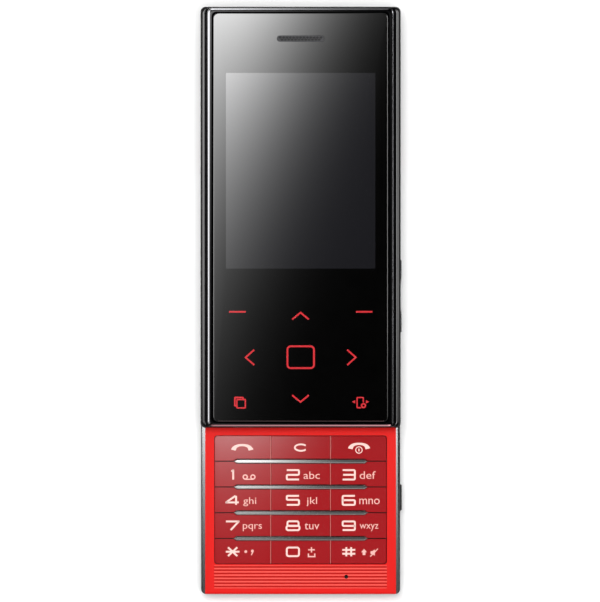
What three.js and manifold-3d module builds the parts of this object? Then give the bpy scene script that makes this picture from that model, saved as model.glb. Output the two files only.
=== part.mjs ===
// Slider phone, open: a display half that slides on a keypad half.
// All lengths are millimetres. The phone lies on its back: +Z is out of the screen, +Y is
// towards the earpiece and +X is to the right of someone who reads the screen. The origin is
// on the back face, at the middle of the keypad half.

import * as THREE from 'three';
import { mergeVertices } from 'three/addons/utils/BufferGeometryUtils.js';
import Module from 'manifold-3d';

const wasm = await Module();
wasm.setup();

// Driving sizes of the whole phone
const BODY_WIDTH = 50.8;
const BODY_LENGTH = 106.9;
const SLIDE_TRAVEL = 42.3;
const CORNER_RADIUS = 1.3;

// Clearances
const FIT = 0.1;              // beside a piece that seats in a pocket
const SEAM = 0.05;            // between two shells that meet edge to edge
const RUNNING = 0.1;          // round a piece that slides
const HALVES_GAP = 0.2;       // between the keypad half and the display half
const OVERRUN = 1;            // how far a cutter runs past what it cuts

// Thicknesses of the keypad half, from the back to the front
const COVER_WALL = 0.8;
const COVER_RIM = 0.5;        // battery cover's rim above its back wall
const HOUSING_RIM = 0.45;     // rear housing between the battery cover and the side rails
const BATTERY_THICK = 3.0;
const BAY_FLOOR = 0.4;
const BOARD_THICK = 0.6;
const DOME_FILM = 0.15;
const DOME_RISE = 0.2;
const KEY_TRAVEL = 0.25;
const KEY_SLACK = 0.05;
const NUB_HEIGHT = 0.35;
const KEY_THICK = 0.7;
const KEY_RECESS = 0.3;
const FRONT_SKIN = 0.8;
const SHELL_WALL = 0.8;

// Thicknesses of the slide mechanism and the display half
const GUIDE_BASE = 0.4;
const PLATE_RECESS = 0.2;     // slide plate's face above the display half's back
const SLIDE_PLATE_THICK = 0.5;
const GLIDE_TOP = 0.35;
const GUIDE_LIP = 0.4;
const CHANNEL_ROOF = 0.4;     // upper case above the guide's channel
const PANEL_THICK = 1.7;
const GLASS_THICK = 1.1;
const BEZEL_LEDGE = 0.5;      // bezel's inner lip under the glass
const BEZEL_SHY = 0.15;       // glass stands proud of the bezel by this
const CASE_SHY = 0.65;        // bezel stands proud of the case by this

// Keypad half, outline and side rails
const LOWER_INSET = 0.1;      // keypad half is narrower than the display half, each side
const RAIL_DEPTH = 1.05;
const RAIL_CROWN = 0.35;      // how far the rail's edges fall back from its crown
const RAIL_SHY = 0.4;         // rail's top below the front face
const BACK_ROLL = { side: 1.4, end: 1.0 };
const FRONT_ROLL = { side: 0, end: 0.6, rise: 0.6 };
const TOP_SECTION = 31;       // rear housing's own part of the back, from the top end
const BAY_MARGIN = { side: 6.2, bottom: 10.5, top: 0.9 };
const BATTERY_FIT = 0.2;
const BATTERY_CORNER = 0.8;
const BOARD_MARGIN = 0.35;
const BOARD_CORNER = 0.5;
const CONTACT = { width: 8, length: 1.6, height: 2.2, gap: 0.2 };
const SIM = { width: 27, length: 15.5, height: 1.4, lip: 0.5, wall: 1, card: 0.9 };

// Keypad
const PAD_MARGIN = { side: 2.3, top: 1.97, chin: 7.6 };
const PAD_CORNER = 0.8;
const WINDOW_GAP = 0.15;
const KEY_GAP = 0.3;
const KEY_COLUMNS = 3;
const KEY_ROWS = 5;
const MIDDLE_COLUMN_SHARE = 0.3462;
const BAR = { width: 1.05, margin: 4.9, tip: 0.8, proud: 0.2, clearance: 0.12 };
const DOME_RADIUS = 2.1;
const NUB_RADIUS = 1.1;
const GROOVE = { count: 7, pitch: 0.83, width: 0.45, depth: 0.2, from_end: 1.92 };
const FILM_MARGIN = 0.6;
const DOME_TOP_SHARE = 0.6;
const MIC = { radius: 2, below_skin: 0.15, hole: 0.6, from_screw: 5.9, from_film: 0.57 };

// Housing screws and their bosses
const SCREW = { head_radius: 1.4, head: 0.7, shank_radius: 0.65, clearance: 0.1 };
const BOSS_RADIUS = 1.7;
const SCREW_PLACE = { from_side: 7.8, from_film: 1.15 };

// Parts in the top section
const CAMERA = { size: 8.6, height: 3.0, barrel: 3.2, from_end: 9.5, window: 4 };
const CAMERA_LENS = { radius: 2.2, recess: 0.3 };
const CAMERA_CORNER = 0.5;
const ACROSS_SHARES = { camera: -0.4, speaker: 0.53, motor: 0.14 };  // of the top hollow's half width
const WINDOW_THICK = 0.5;
const WINDOW_SHY = 0.05;
const FLASH = { radius: 1.6, from_camera: 8.2, ledge: 0.4 };
const SPEAKER = { width: 15, length: 10, below_board: 0.3, corner: 1.5, from_end: 11 };
const SPEAKER_SLOT = { count: 4, length: 9, width: 0.8, pitch: 2 };
const MOTOR = { clearance: 0.2, can: 5.6, weight: 2.6, shaft: 0.35, gap: 0.3, from_wall: 2.65 };
const MOTOR_RIB = { thick: 0.6, height: 2 };
const USB = { depth: 5.5, width: 7.5, height: 2.4, wall: 0.3, from_end: 20 };
const USB_TONGUE = { thick: 0.5, margin: 1, back: 1.2 };
const PORT = { half_length: 4.7, low: 2.05, high: 4.75, end_radius: 0.5, clearance: 0.12 };

// Side keys
const KEY_SIDE = { low: 3.2, high: 5.2, proud: 0.45, corner: 0.4, clearance: 0.15, relief: 0.6 };
const KEY_FLANGE = { depth: 0.25, over: 0.6, swing: 0.3 };
const CAMERA_KEY = { length: 7, from_bottom: 24.59 };
const ROCKER = { length: 18.8, from_top: 31.12, pad: 4.6, dip: 0.15 };

// Slide guide, its glides and the slide plate
const GUIDE_MARGIN = { side: 7.2, top: 2.6, exposed: 16 };
const GUIDE_WALL = 0.4;
const GUIDE_LIP_WIDTH = 1.8;
const GLIDE_WEB = 0.55;
const GLIDE_WIDTH = 1.8;
const CHANNEL_FIT = 0.2;
const POST = { radius: 0.8, from_end: 5, from_side: 6.1 };
const PLATE_PAST = { low: 1.35, high: 0.65 };
const PLATE_EDGE_GAP = 0.15;
const CHANNEL_HEADROOM = 0.15;
const SLIDE_SCREW = { head_radius: 1.5, head: 0.35, shank_radius: 0.65, bite: 1.0 };
const SLIDE_SCREW_PLACE = { from_side: 6.5, from_end: 4 };

// Spring and flexible printed cable between the halves
const SPRING = { wire: 0.25, pin: 0.6, eye: 1.05, loop: 3 };
const SPRING_PLACE = { low_from_edge: 4, high_from_edge: 14, from_guide_end: 1.85 };
const BOW_SHARES = [[-1.4, 0], [-0.5, 0.35], [-1, 1.4], [0, 2.2], [1, 1.4], [0.5, 0.35], [1.4, 0]];
const BOW_STEPS = 40;
const WIRE_SIDES = 6;
const FLEX = { width: 9, from_edge: 7, thick: 0.15, from_guide: 3.15, spare: 1.5, rise_after: 8, slot: 0.3 };

// Shield over the radio parts of the main board
const SHIELD = { wall: 0.2, below_skin: 0.1, side: 7.3, from_guide: 1.85, from_film: 0.32 };

// Display half
const CASE_LOW_ROLL = { side: 1.0, end: 0.8, rise: 0.9 };
const CASE_HIGH_ROLL = { side: 1.55, end: 0.35, rise: 0.9 };
const BEZEL_MARGIN = { side: 1.85, end: 0.55 };
const BEZEL_WIDTH = { side: 1.25, end: 0.95 };
const BEZEL_CHAMFER = 0.25;
const LIP_WIDTH = 0.9;
const CASE_WALL = { side: 3.0, end: 1.95 };
const GLASS_CORNER = 1.2;
const GLASS_CHAMFER = 0.2;
const EARPIECE = { width: 12.05, height: 1.55, corner: 0.4, from_end: 8.1, mesh_thick: 0.7, recess: 0.1 };
const EARPIECE_MESH = { columns: 12, half: 0.24, row: 0.3 };
const RECEIVER = { width: 12, length: 7, height: 1.5, corner: 1.2 };
const PANEL = { from_lip: 0.4, below_receiver: 1.35, length: 58, frame: 1.2, recess: 0.1 };
const DISPLAY_BOARD = { side: 4.4, from_bottom: 5.0, below_panel: 4.95, thick: 0.8 };
const CONNECTOR = { width: 11, length: 3.2, below_touch: 0.2, from_edge: 2.25 };
const TOUCH = { side: 4.9, from_bottom: 3, below_panel: 1.45, thick: 0.2 };

// Facets of round forms
const CORNER_STEPS = 5;
const ROLL_STEPS = 4;
const ROUND_STEPS = 20;
const SMALL_STEPS = 12;

// Levels, worked out from the thicknesses
const Z_BATTERY = COVER_WALL + FIT;
const Z_BATTERY_TOP = Z_BATTERY + BATTERY_THICK;
const Z_BAY_TOP = Z_BATTERY_TOP + FIT;
const Z_BOARD = Z_BAY_TOP + BAY_FLOOR;
const Z_BOARD_TOP = Z_BOARD + BOARD_THICK;
const Z_FILM_TOP = Z_BOARD_TOP + DOME_FILM;
const Z_NUB = Z_FILM_TOP + DOME_RISE + KEY_TRAVEL + KEY_SLACK;
const Z_KEY = Z_NUB + NUB_HEIGHT;
const Z_KEY_TOP = Z_KEY + KEY_THICK;
const Z_FRONT = Z_KEY_TOP + KEY_RECESS;
const Z_SKIN = Z_FRONT - FRONT_SKIN;
const Z_COVER_RIM = COVER_WALL + COVER_RIM;
const Z_RAIL = Z_COVER_RIM + SEAM + HOUSING_RIM;
const Z_RAIL_TOP = Z_FRONT - RAIL_SHY;
const Z_GUIDE_TOP = Z_SKIN + GUIDE_BASE;
const Z_UPPER = Z_FRONT + HALVES_GAP;
const Z_PLATE = Z_UPPER + PLATE_RECESS;
const Z_PLATE_TOP = Z_PLATE + SLIDE_PLATE_THICK;
const Z_GLIDE_TOP = Z_PLATE_TOP + RUNNING + GLIDE_TOP;
const Z_LIP_TOP = Z_GLIDE_TOP + GUIDE_LIP;
const Z_CHANNEL = Z_LIP_TOP + CHANNEL_HEADROOM;
const Z_CASE_FLOOR = Z_CHANNEL + CHANNEL_ROOF;
const Z_PANEL_TOP = Z_CASE_FLOOR + PANEL_THICK;
const Z_GLASS = Z_PANEL_TOP + FIT;
const Z_GLASS_TOP = Z_GLASS + GLASS_THICK;
const Z_BEZEL = Z_GLASS - BEZEL_LEDGE;
const Z_BEZEL_TOP = Z_GLASS_TOP - BEZEL_SHY;
const Z_CASE_TOP = Z_BEZEL_TOP - CASE_SHY;

// Places across and along the keypad half, worked out from the outline
const HALF_WIDTH = BODY_WIDTH / 2;
const HALF_LENGTH = BODY_LENGTH / 2;
const RAIL_X = HALF_WIDTH - LOWER_INSET;
const HOUSING_X = RAIL_X - RAIL_CROWN;
const COVER_X = RAIL_X - RAIL_DEPTH;
const INNER_X = COVER_X - SHELL_WALL;
const INNER_Y = HALF_LENGTH - SHELL_WALL;
const BLOCK_X = INNER_X - FIT;
const BLOCK_Y = INNER_Y - FIT;
const TRAY_X = HOUSING_X - SHELL_WALL;
const COVER_EDGE = HALF_LENGTH - TOP_SECTION;
const EXPOSED_EDGE = SLIDE_TRAVEL - HALF_LENGTH;
const BAY_X = RAIL_X - BAY_MARGIN.side;
const BAY_LOW = BAY_MARGIN.bottom - HALF_LENGTH;
const BAY_HIGH = COVER_EDGE - BAY_MARGIN.top;
const SIM_HIGH = BAY_HIGH - SIM.lip;
const SIM_LOW = SIM_HIGH - SIM.length;
const CONTACT_HIGH = SIM_LOW - CONTACT.gap;
const CONTACT_LOW = CONTACT_HIGH - CONTACT.length;
const PAD_X = COVER_X - PAD_MARGIN.side;
const PAD_HIGH = EXPOSED_EDGE - PAD_MARGIN.top;
const PAD_LOW = PAD_MARGIN.chin - HALF_LENGTH;
const ROW_PITCH = (PAD_HIGH - PAD_LOW) / KEY_ROWS;
const PAD_MIDDLE = (PAD_HIGH + PAD_LOW) / 2;
const PAD_HALF = (PAD_HIGH - PAD_LOW) / 2;
const COLUMN_EDGE = PAD_X * MIDDLE_COLUMN_SHARE;
const COLUMN_EDGES = [-PAD_X, -COLUMN_EDGE, COLUMN_EDGE, PAD_X];
const SCREW_X = RAIL_X - SCREW_PLACE.from_side;
const FILM_LOW = PAD_LOW - FILM_MARGIN;
const SCREW_Y = FILM_LOW - BOSS_RADIUS - SCREW_PLACE.from_film;
const MIC_X = SCREW_X - MIC.from_screw;
const MIC_Y = FILM_LOW - MIC.radius - MIC.from_film;
const CAMERA_Y = HALF_LENGTH - CAMERA.from_end;
const CAMERA_X = ACROSS_SHARES.camera * (BLOCK_X - SHELL_WALL);
const SPEAKER_X = ACROSS_SHARES.speaker * (BLOCK_X - SHELL_WALL);
const MOTOR_X = ACROSS_SHARES.motor * (BLOCK_X - SHELL_WALL);
const FLASH_X = CAMERA_X + FLASH.from_camera;
const SPEAKER_Y = HALF_LENGTH - SPEAKER.from_end;
const MOTOR_RADIUS = (Z_BOARD - COVER_WALL) / 2 - MOTOR.clearance;
const MOTOR_Y = COVER_EDGE + SHELL_WALL + MOTOR_RADIUS + MOTOR.from_wall;
const USB_Y = HALF_LENGTH - USB.from_end;
const CAMERA_KEY_Y = CAMERA_KEY.from_bottom - HALF_LENGTH;
const ROCKER_Y = HALF_LENGTH - ROCKER.from_top;
const SIDE_KEYS = [
  { y: CAMERA_KEY_Y, half: CAMERA_KEY.length / 2 },
  { y: ROCKER_Y, half: ROCKER.length / 2 },
];

// Places of the slide mechanism, on the keypad half
const GUIDE_X = RAIL_X - GUIDE_MARGIN.side;
const GLIDE_X = GUIDE_X - GUIDE_WALL;
const GLIDE_INNER_X = GLIDE_X - GLIDE_WIDTH;
const PLATE_X = GLIDE_X - GLIDE_WEB - PLATE_EDGE_GAP;
const POST_X = GUIDE_X - POST.from_side;
const FLEX_X = PLATE_X - FLEX.from_edge;
const SPRING_LOW_X = SPRING_PLACE.low_from_edge - PLATE_X;
const SPRING_HIGH_X = PLATE_X - SPRING_PLACE.high_from_edge;
const SLIDE_SCREW_X = PLATE_X - SLIDE_SCREW_PLACE.from_side;
const GUIDE_LOW = EXPOSED_EDGE + GUIDE_MARGIN.exposed;
const GUIDE_HIGH = HALF_LENGTH - GUIDE_MARGIN.top;
const SPRING_HIGH_Y = GUIDE_HIGH - SPRING_PLACE.from_guide_end;
const SPRING_LOW_Y = SPRING_HIGH_Y - SLIDE_TRAVEL / 2;
const POST_YS = [GUIDE_LOW + POST.from_end, GUIDE_HIGH - POST.from_end];
const FLEX_LOW = GUIDE_LOW + FLEX.from_guide;
const FLEX_RISE = FLEX_LOW + FLEX.rise_after;
const FLEX_BEND = FLEX_LOW + FLEX.spare + SLIDE_TRAVEL / 2;

// Places on the display half, from its own middle
const PLATE_LOW = GUIDE_LOW - SLIDE_TRAVEL - PLATE_PAST.low;
const PLATE_HIGH = GUIDE_HIGH + PLATE_PAST.high;
const BEZEL_X = HALF_WIDTH - BEZEL_MARGIN.side;
const BEZEL_Y = HALF_LENGTH - BEZEL_MARGIN.end;
const GLASS_SEAT_X = BEZEL_X - BEZEL_WIDTH.side;
const GLASS_SEAT_Y = BEZEL_Y - BEZEL_WIDTH.end;
const CAVITY_X = HALF_WIDTH - CASE_WALL.side;
const CAVITY_Y = HALF_LENGTH - CASE_WALL.end;
const EARPIECE_Y = HALF_LENGTH - EARPIECE.from_end;
const PANEL_HIGH = EARPIECE_Y - RECEIVER.length / 2 - PANEL.below_receiver;
const PANEL_LOW = PANEL_HIGH - PANEL.length;

// Finishes
function finish(color, roughness, metalness) {
  return new THREE.MeshStandardMaterial({ color, roughness, metalness });
}

const FINISH = {
  gloss_black: finish(0x0a0a0c, 0.08, 0),
  glass_black: finish(0x050506, 0.04, 0),
  matt_black: finish(0x1b1b1d, 0.55, 0),
  red_shell: finish(0xd9262e, 0.3, 0),
  red_keys: finish(0xc0393f, 0.35, 0),
  rail_metal: finish(0x8e8e92, 0.3, 1),
  bar_metal: finish(0xc9c9cc, 0.22, 1),
  steel: finish(0xa9abaf, 0.35, 1),
  dark_steel: finish(0x55585c, 0.4, 1),
  gold: finish(0xd2a64b, 0.3, 1),
  board: finish(0x1c4a34, 0.6, 0),
  film: finish(0xb9a27a, 0.5, 0),
  flex: finish(0xb0702c, 0.45, 0),
  white_plastic: finish(0xdedcd4, 0.5, 0),
  grey_plastic: finish(0x6c6e72, 0.5, 0),
  battery: finish(0x3a3d42, 0.45, 0),
  display: finish(0x15171b, 0.15, 0),
  clear_lens: finish(0xe6ebee, 0.08, 0),
};

// A closed mesh becomes a solid once its shared corners are merged
function toSolid(geometry) {
  geometry.deleteAttribute('normal');
  geometry.deleteAttribute('uv');
  const merged = mergeVertices(geometry);
  return new wasm.Manifold(new wasm.Mesh({
    numProp: 3,
    vertProperties: Float32Array.from(merged.attributes.position.array),
    triVerts: Uint32Array.from(merged.index.array),
  }));
}

function join(solids) {
  return solids.reduce((whole, solid) => whole.add(solid));
}

function cut(body, cutters) {
  return cutters.reduce((rest, cutter) => rest.subtract(cutter), body);
}

function box(left, right, front, back, low, high) {
  const geometry = new THREE.BoxGeometry(right - left, back - front, high - low);
  geometry.translate((left + right) / 2, (front + back) / 2, (low + high) / 2);
  return toSolid(geometry);
}

// A box given by its middle and half sizes in the plan
function block(x, y, halfX, halfY, low, high) {
  return box(x - halfX, x + halfX, y - halfY, y + halfY, low, high);
}

function rod(radius, x, y, low, high, steps = ROUND_STEPS) {
  const geometry = new THREE.CylinderGeometry(radius, radius, high - low, steps);
  geometry.rotateX(Math.PI / 2);
  geometry.translate(x, y, (low + high) / 2);
  return toSolid(geometry);
}

// A rounded rectangle's points, anticlockwise
function outline(halfX, halfY, radius) {
  const points = [];
  for (let corner = 0; corner < 4; corner += 1) {
    const sideX = corner === 0 || corner === 3 ? 1 : -1;
    const sideY = corner < 2 ? 1 : -1;
    for (let step = 0; step <= CORNER_STEPS; step += 1) {
      const angle = (corner + step / CORNER_STEPS) * Math.PI / 2;
      const x = sideX * (halfX - radius) + radius * Math.cos(angle);
      const y = sideY * (halfY - radius) + radius * Math.sin(angle);
      points.push([x, y]);
    }
  }
  return points;
}

// A solid skinned over rings of points, from the lowest ring to the highest
function loft(rings, x = 0, y = 0) {
  const count = rings[0].points.length;
  const corners = rings.flatMap(
    ({ points, z }) => points.flatMap((point) => [point[0] + x, point[1] + y, z]),
  );
  const faces = [];
  for (let level = 0; level + 1 < rings.length; level += 1) {
    for (let i = 0; i < count; i += 1) {
      const here = level * count + i;
      const next = level * count + (i + 1) % count;
      faces.push(here, next, next + count, here, next + count, here + count);
    }
  }
  const top = (rings.length - 1) * count;
  for (let i = 1; i + 1 < count; i += 1) {
    faces.push(0, i + 1, i, top, top + i, top + i + 1);
  }
  const geometry = new THREE.BufferGeometry();
  geometry.setAttribute('position', new THREE.Float32BufferAttribute(corners, 3));
  geometry.setIndex(faces);
  return toSolid(geometry);
}

// A plate with rounded corners
function slab(halfX, halfY, radius, low, high, x = 0, y = 0) {
  const points = outline(halfX, halfY, radius);
  return loft([{ points, z: low }, { points, z: high }], x, y);
}

// Rings that round an edge: drawn in at faceZ, out to the full outline at edgeZ
function rollRings(halfX, halfY, radius, roll, faceZ, edgeZ) {
  const rings = [];
  for (let step = 0; step <= ROLL_STEPS; step += 1) {
    const angle = step / ROLL_STEPS * Math.PI / 2;
    const drawnIn = 1 - Math.sin(angle);
    const points = outline(halfX - roll.side * drawnIn, halfY - roll.end * drawnIn, radius);
    rings.push({ points, z: faceZ + (edgeZ - faceZ) * (1 - Math.cos(angle)) });
  }
  return rings;
}

// An outline of [x, y] points raised from low to high
function prism(points, low, high) {
  const shape = new THREE.Shape(points.map((point) => new THREE.Vector2(...point)));
  const geometry = new THREE.ExtrudeGeometry(shape, { depth: high - low, bevelEnabled: false });
  geometry.translate(0, 0, low);
  return toSolid(geometry);
}

// A section of [x, z] points run along Y
function runAlong(points, front, back) {
  const shape = new THREE.Shape(points.map((point) => new THREE.Vector2(...point)));
  const geometry = new THREE.ExtrudeGeometry(shape, { depth: back - front, bevelEnabled: false });
  geometry.rotateX(Math.PI / 2);
  geometry.translate(0, back, 0);
  return toSolid(geometry);
}

// A piece's solid becomes a named mesh in its group
function addPiece(group, name, solid, material) {
  const { vertProperties, triVerts } = solid.getMesh();
  const geometry = new THREE.BufferGeometry();
  geometry.setAttribute('position', new THREE.BufferAttribute(vertProperties, 3));
  geometry.setIndex(new THREE.BufferAttribute(triVerts, 1));
  geometry.computeVertexNormals();
  const mesh = new THREE.Mesh(geometry, material);
  mesh.name = name;
  group.add(mesh);
}

// Keypad half: outline of its rails and ends
function keypadPlan(low, high) {
  return slab(RAIL_X, HALF_LENGTH, CORNER_RADIUS, low, high);
}

// Keypad half: the red front cover, with the keypad's window, the ribbed chin and the pan
// that holds the slide's guide
function frontCover() {
  const rings = [{ points: outline(RAIL_X, HALF_LENGTH, CORNER_RADIUS), z: Z_RAIL }];
  const rollEdge = Z_FRONT - FRONT_ROLL.rise;
  const rolled = rollRings(RAIL_X, HALF_LENGTH, CORNER_RADIUS, FRONT_ROLL, Z_FRONT, rollEdge);
  const sides = box(-COVER_X, COVER_X, -HALF_LENGTH, HALF_LENGTH, Z_RAIL, Z_FRONT);
  const shell = loft(rings.concat(rolled.reverse())).intersect(sides);
  const hollow = box(-INNER_X, INNER_X, -INNER_Y, INNER_Y, Z_RAIL - OVERRUN, Z_SKIN);
  const panX = GUIDE_X + FIT;
  const panLow = GUIDE_LOW - FIT;
  const panHigh = GUIDE_HIGH + FIT;
  const pan = box(
    -panX - SHELL_WALL, panX + SHELL_WALL, panLow - SHELL_WALL, panHigh + SHELL_WALL,
    Z_SKIN - SHELL_WALL, Z_SKIN + SHELL_WALL / 2,
  );
  const window = slab(PAD_X, PAD_HALF, PAD_CORNER, Z_SKIN - OVERRUN, Z_FRONT + OVERRUN, 0, PAD_MIDDLE);
  const posts = [];
  const bosses = [];
  const holes = [];
  for (const side of [-1, 1]) {
    const postLow = Z_SKIN - SHELL_WALL / 2;
    for (const y of POST_YS) {
      posts.push(rod(POST.radius, side * POST_X, y, postLow, Z_GUIDE_TOP - SEAM, SMALL_STEPS));
    }
    bosses.push(rod(BOSS_RADIUS, side * SCREW_X, SCREW_Y, Z_BOARD, Z_SKIN + FRONT_SKIN / 2));
    const holeRadius = SCREW.shank_radius + SCREW.clearance;
    holes.push(rod(holeRadius, side * SCREW_X, SCREW_Y, Z_BOARD - OVERRUN, Z_SKIN, SMALL_STEPS));
  }
  const grooves = [];
  for (let i = 0; i < GROOVE.count; i += 1) {
    const y = GROOVE.from_end + i * GROOVE.pitch - HALF_LENGTH;
    grooves.push(block(0, y, PAD_X, GROOVE.width / 2, Z_FRONT - GROOVE.depth, Z_FRONT + OVERRUN));
  }
  const carved = cut(join([cut(shell, [hollow]), pan]), [
    box(-panX, panX, panLow, panHigh, Z_SKIN, Z_FRONT + OVERRUN),
    flexSlot(FLEX_LOW, Z_SKIN - SHELL_WALL - OVERRUN, Z_SKIN + OVERRUN),
    window,
    ...grooves,
    rod(MIC.hole, MIC_X, MIC_Y, Z_SKIN - OVERRUN, Z_FRONT + OVERRUN, SMALL_STEPS),
    ...sideSlots(INNER_X, COVER_X, KEY_FLANGE.over),
    usbOpening(-COVER_X - OVERRUN, -INNER_X + OVERRUN),
  ]);
  return cut(join([carved, ...posts, ...bosses]), holes);
}

// Slots on the right side for the side keys, from an inner to an outer wall face
function sideSlots(inner, outer, over) {
  return SIDE_KEYS.map(({ y, half }) => box(
    inner - OVERRUN, outer + OVERRUN,
    y - half - over - KEY_SIDE.clearance, y + half + over + KEY_SIDE.clearance,
    KEY_SIDE.low - KEY_SIDE.clearance, KEY_SIDE.high + KEY_SIDE.clearance,
  ));
}

// Space for the connector in a wall on the left side
function usbOpening(outer, inner) {
  const top = Z_BOARD - SEAM;
  const halfWidth = USB.width / 2 + FIT;
  return box(outer, inner, USB_Y - halfWidth, USB_Y + halfWidth, top - USB.height - FIT, top + FIT);
}

function flexSlot(y, low, high) {
  return block(FLEX_X, y, FLEX.width / 2 + FLEX.slot, FLEX.thick / 2 + FLEX.slot, low, high);
}

// Keypad half: a side rail's section, flat inside and crowned outside
function railSection(side) {
  const middle = (Z_RAIL + Z_RAIL_TOP) / 2;
  const half = (Z_RAIL_TOP - Z_RAIL) / 2;
  const points = [[side * COVER_X, Z_RAIL]];
  for (let step = -ROLL_STEPS; step <= ROLL_STEPS; step += 1) {
    const share = step / ROLL_STEPS;
    points.push([side * (RAIL_X - RAIL_CROWN * share * share), middle + half * share]);
  }
  points.push([side * COVER_X, Z_RAIL_TOP]);
  return runAlong(points, -HALF_LENGTH, HALF_LENGTH).intersect(keypadPlan(Z_RAIL, Z_RAIL_TOP));
}

function railLeft() {
  const end = PORT.half_length + PORT.clearance;
  return cut(railSection(-1), [
    box(
      -RAIL_X - OVERRUN, -COVER_X + OVERRUN, USB_Y - end, USB_Y + end,
      PORT.low - PORT.clearance, PORT.high + PORT.clearance,
    ),
  ]);
}

function railRight() {
  return cut(railSection(1), sideSlots(COVER_X, RAIL_X, 0));
}

// Keypad half: rear housing, with the battery's bay and the hollow top section
function rearHousing() {
  const back = loft(rollRings(HOUSING_X, HALF_LENGTH, CORNER_RADIUS, BACK_ROLL, 0, Z_RAIL));
  const underCover = box(
    -HALF_WIDTH, HALF_WIDTH, -HALF_LENGTH - OVERRUN, COVER_EDGE + SEAM, -OVERRUN, Z_COVER_RIM + SEAM,
  );
  const core = box(
    RUNNING - TRAY_X, TRAY_X - RUNNING, RUNNING - INNER_Y, COVER_EDGE + SEAM + RUNNING,
    Z_BATTERY, Z_RAIL,
  );
  const inner = box(-BLOCK_X, BLOCK_X, -BLOCK_Y, BLOCK_Y, Z_COVER_RIM + SEAM, Z_BOARD);
  const bay = box(-BAY_X, BAY_X, BAY_LOW, BAY_HIGH, -OVERRUN, Z_BAY_TOP);
  const contactSlot = box(
    -CONTACT.width / 2 - FIT, CONTACT.width / 2 + FIT, CONTACT_LOW - FIT, CONTACT_HIGH + FIT,
    Z_BATTERY, Z_BOARD + OVERRUN,
  );
  const topHollow = box(
    SHELL_WALL - BLOCK_X, BLOCK_X - SHELL_WALL, COVER_EDGE + SHELL_WALL, BLOCK_Y - SHELL_WALL,
    COVER_WALL, Z_BOARD + OVERRUN,
  );
  const ledge = WINDOW_SHY + WINDOW_THICK;
  const through = COVER_WALL + OVERRUN;
  const cutters = [bay, contactSlot, topHollow];
  cutters.push(rod(CAMERA.window + FIT, CAMERA_X, CAMERA_Y, -OVERRUN, ledge));
  cutters.push(rod(CAMERA.barrel + FIT, CAMERA_X, CAMERA_Y, -OVERRUN, through));
  cutters.push(rod(FLASH.radius + FIT, FLASH_X, CAMERA_Y, -OVERRUN, ledge, SMALL_STEPS));
  cutters.push(rod(FLASH.radius - FLASH.ledge, FLASH_X, CAMERA_Y, -OVERRUN, through, SMALL_STEPS));
  for (let i = 0; i < SPEAKER_SLOT.count; i += 1) {
    const y = SPEAKER_Y + (i - (SPEAKER_SLOT.count - 1) / 2) * SPEAKER_SLOT.pitch;
    const halves = [SPEAKER_SLOT.length / 2, SPEAKER_SLOT.width / 2];
    cutters.push(block(SPEAKER_X, y, ...halves, -OVERRUN, through));
  }
  for (const side of [-1, 1]) {
    const headTop = Z_BATTERY + FIT + SCREW.head;
    cutters.push(rod(SCREW.head_radius + SCREW.clearance, side * SCREW_X, SCREW_Y, -OVERRUN, headTop));
    const shank = SCREW.shank_radius + SCREW.clearance;
    cutters.push(rod(shank, side * SCREW_X, SCREW_Y, -OVERRUN, Z_BOARD + OVERRUN, SMALL_STEPS));
  }
  cutters.push(usbOpening(-BLOCK_X - OVERRUN, SHELL_WALL + OVERRUN - BLOCK_X));
  for (const { y, half } of SIDE_KEYS) {
    const reach = half + KEY_FLANGE.over + KEY_SIDE.clearance;
    const low = KEY_SIDE.low - KEY_SIDE.clearance;
    cutters.push(box(BLOCK_X - KEY_SIDE.relief, INNER_X, y - reach, y + reach, low, Z_BOARD + OVERRUN));
  }
  const ribs = [-1, 1].map((side) => block(
    MOTOR_X, MOTOR_Y + side * (MOTOR_RADIUS + FIT + MOTOR_RIB.thick / 2),
    MOTOR.can / 2, MOTOR_RIB.thick / 2, COVER_WALL / 2, COVER_WALL + MOTOR_RIB.height,
  ));
  const whole = join([cut(back, [underCover]), core, inner]);
  return join([cut(whole, cutters), ...ribs]);
}

// Keypad half: battery cover, a shallow tray that slides off towards the chin
function batteryCover() {
  const back = loft(rollRings(HOUSING_X, HALF_LENGTH, CORNER_RADIUS, BACK_ROLL, 0, Z_RAIL));
  const kept = box(-HALF_WIDTH, HALF_WIDTH, -HALF_LENGTH - OVERRUN, COVER_EDGE, -OVERRUN, Z_COVER_RIM);
  const hollow = box(-TRAY_X, TRAY_X, -INNER_Y, COVER_EDGE + OVERRUN, COVER_WALL, Z_COVER_RIM + OVERRUN);
  return cut(back.intersect(kept), [hollow]);
}

function battery() {
  const halfX = BAY_X - BATTERY_FIT;
  const low = BAY_LOW + BATTERY_FIT;
  const high = CONTACT_LOW - CONTACT.gap;
  return slab(halfX, (high - low) / 2, BATTERY_CORNER, Z_BATTERY, Z_BATTERY_TOP, 0, (low + high) / 2);
}

function batteryContacts() {
  const half = CONTACT.width / 2;
  return box(-half, half, CONTACT_LOW, CONTACT_HIGH, Z_BAY_TOP - CONTACT.height, Z_BOARD);
}

// Keypad half: holder under the bay's floor, open below for the card
function simHolder() {
  const low = Z_BAY_TOP - SIM.height;
  const half = SIM.width / 2;
  const whole = box(-half, half, SIM_LOW, SIM_HIGH, low, Z_BAY_TOP);
  const card = box(
    SIM.wall - half, half - SIM.wall, SIM_LOW - OVERRUN, SIM_HIGH - SIM.wall, low - OVERRUN, low + SIM.card,
  );
  return cut(whole, [card]);
}

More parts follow.
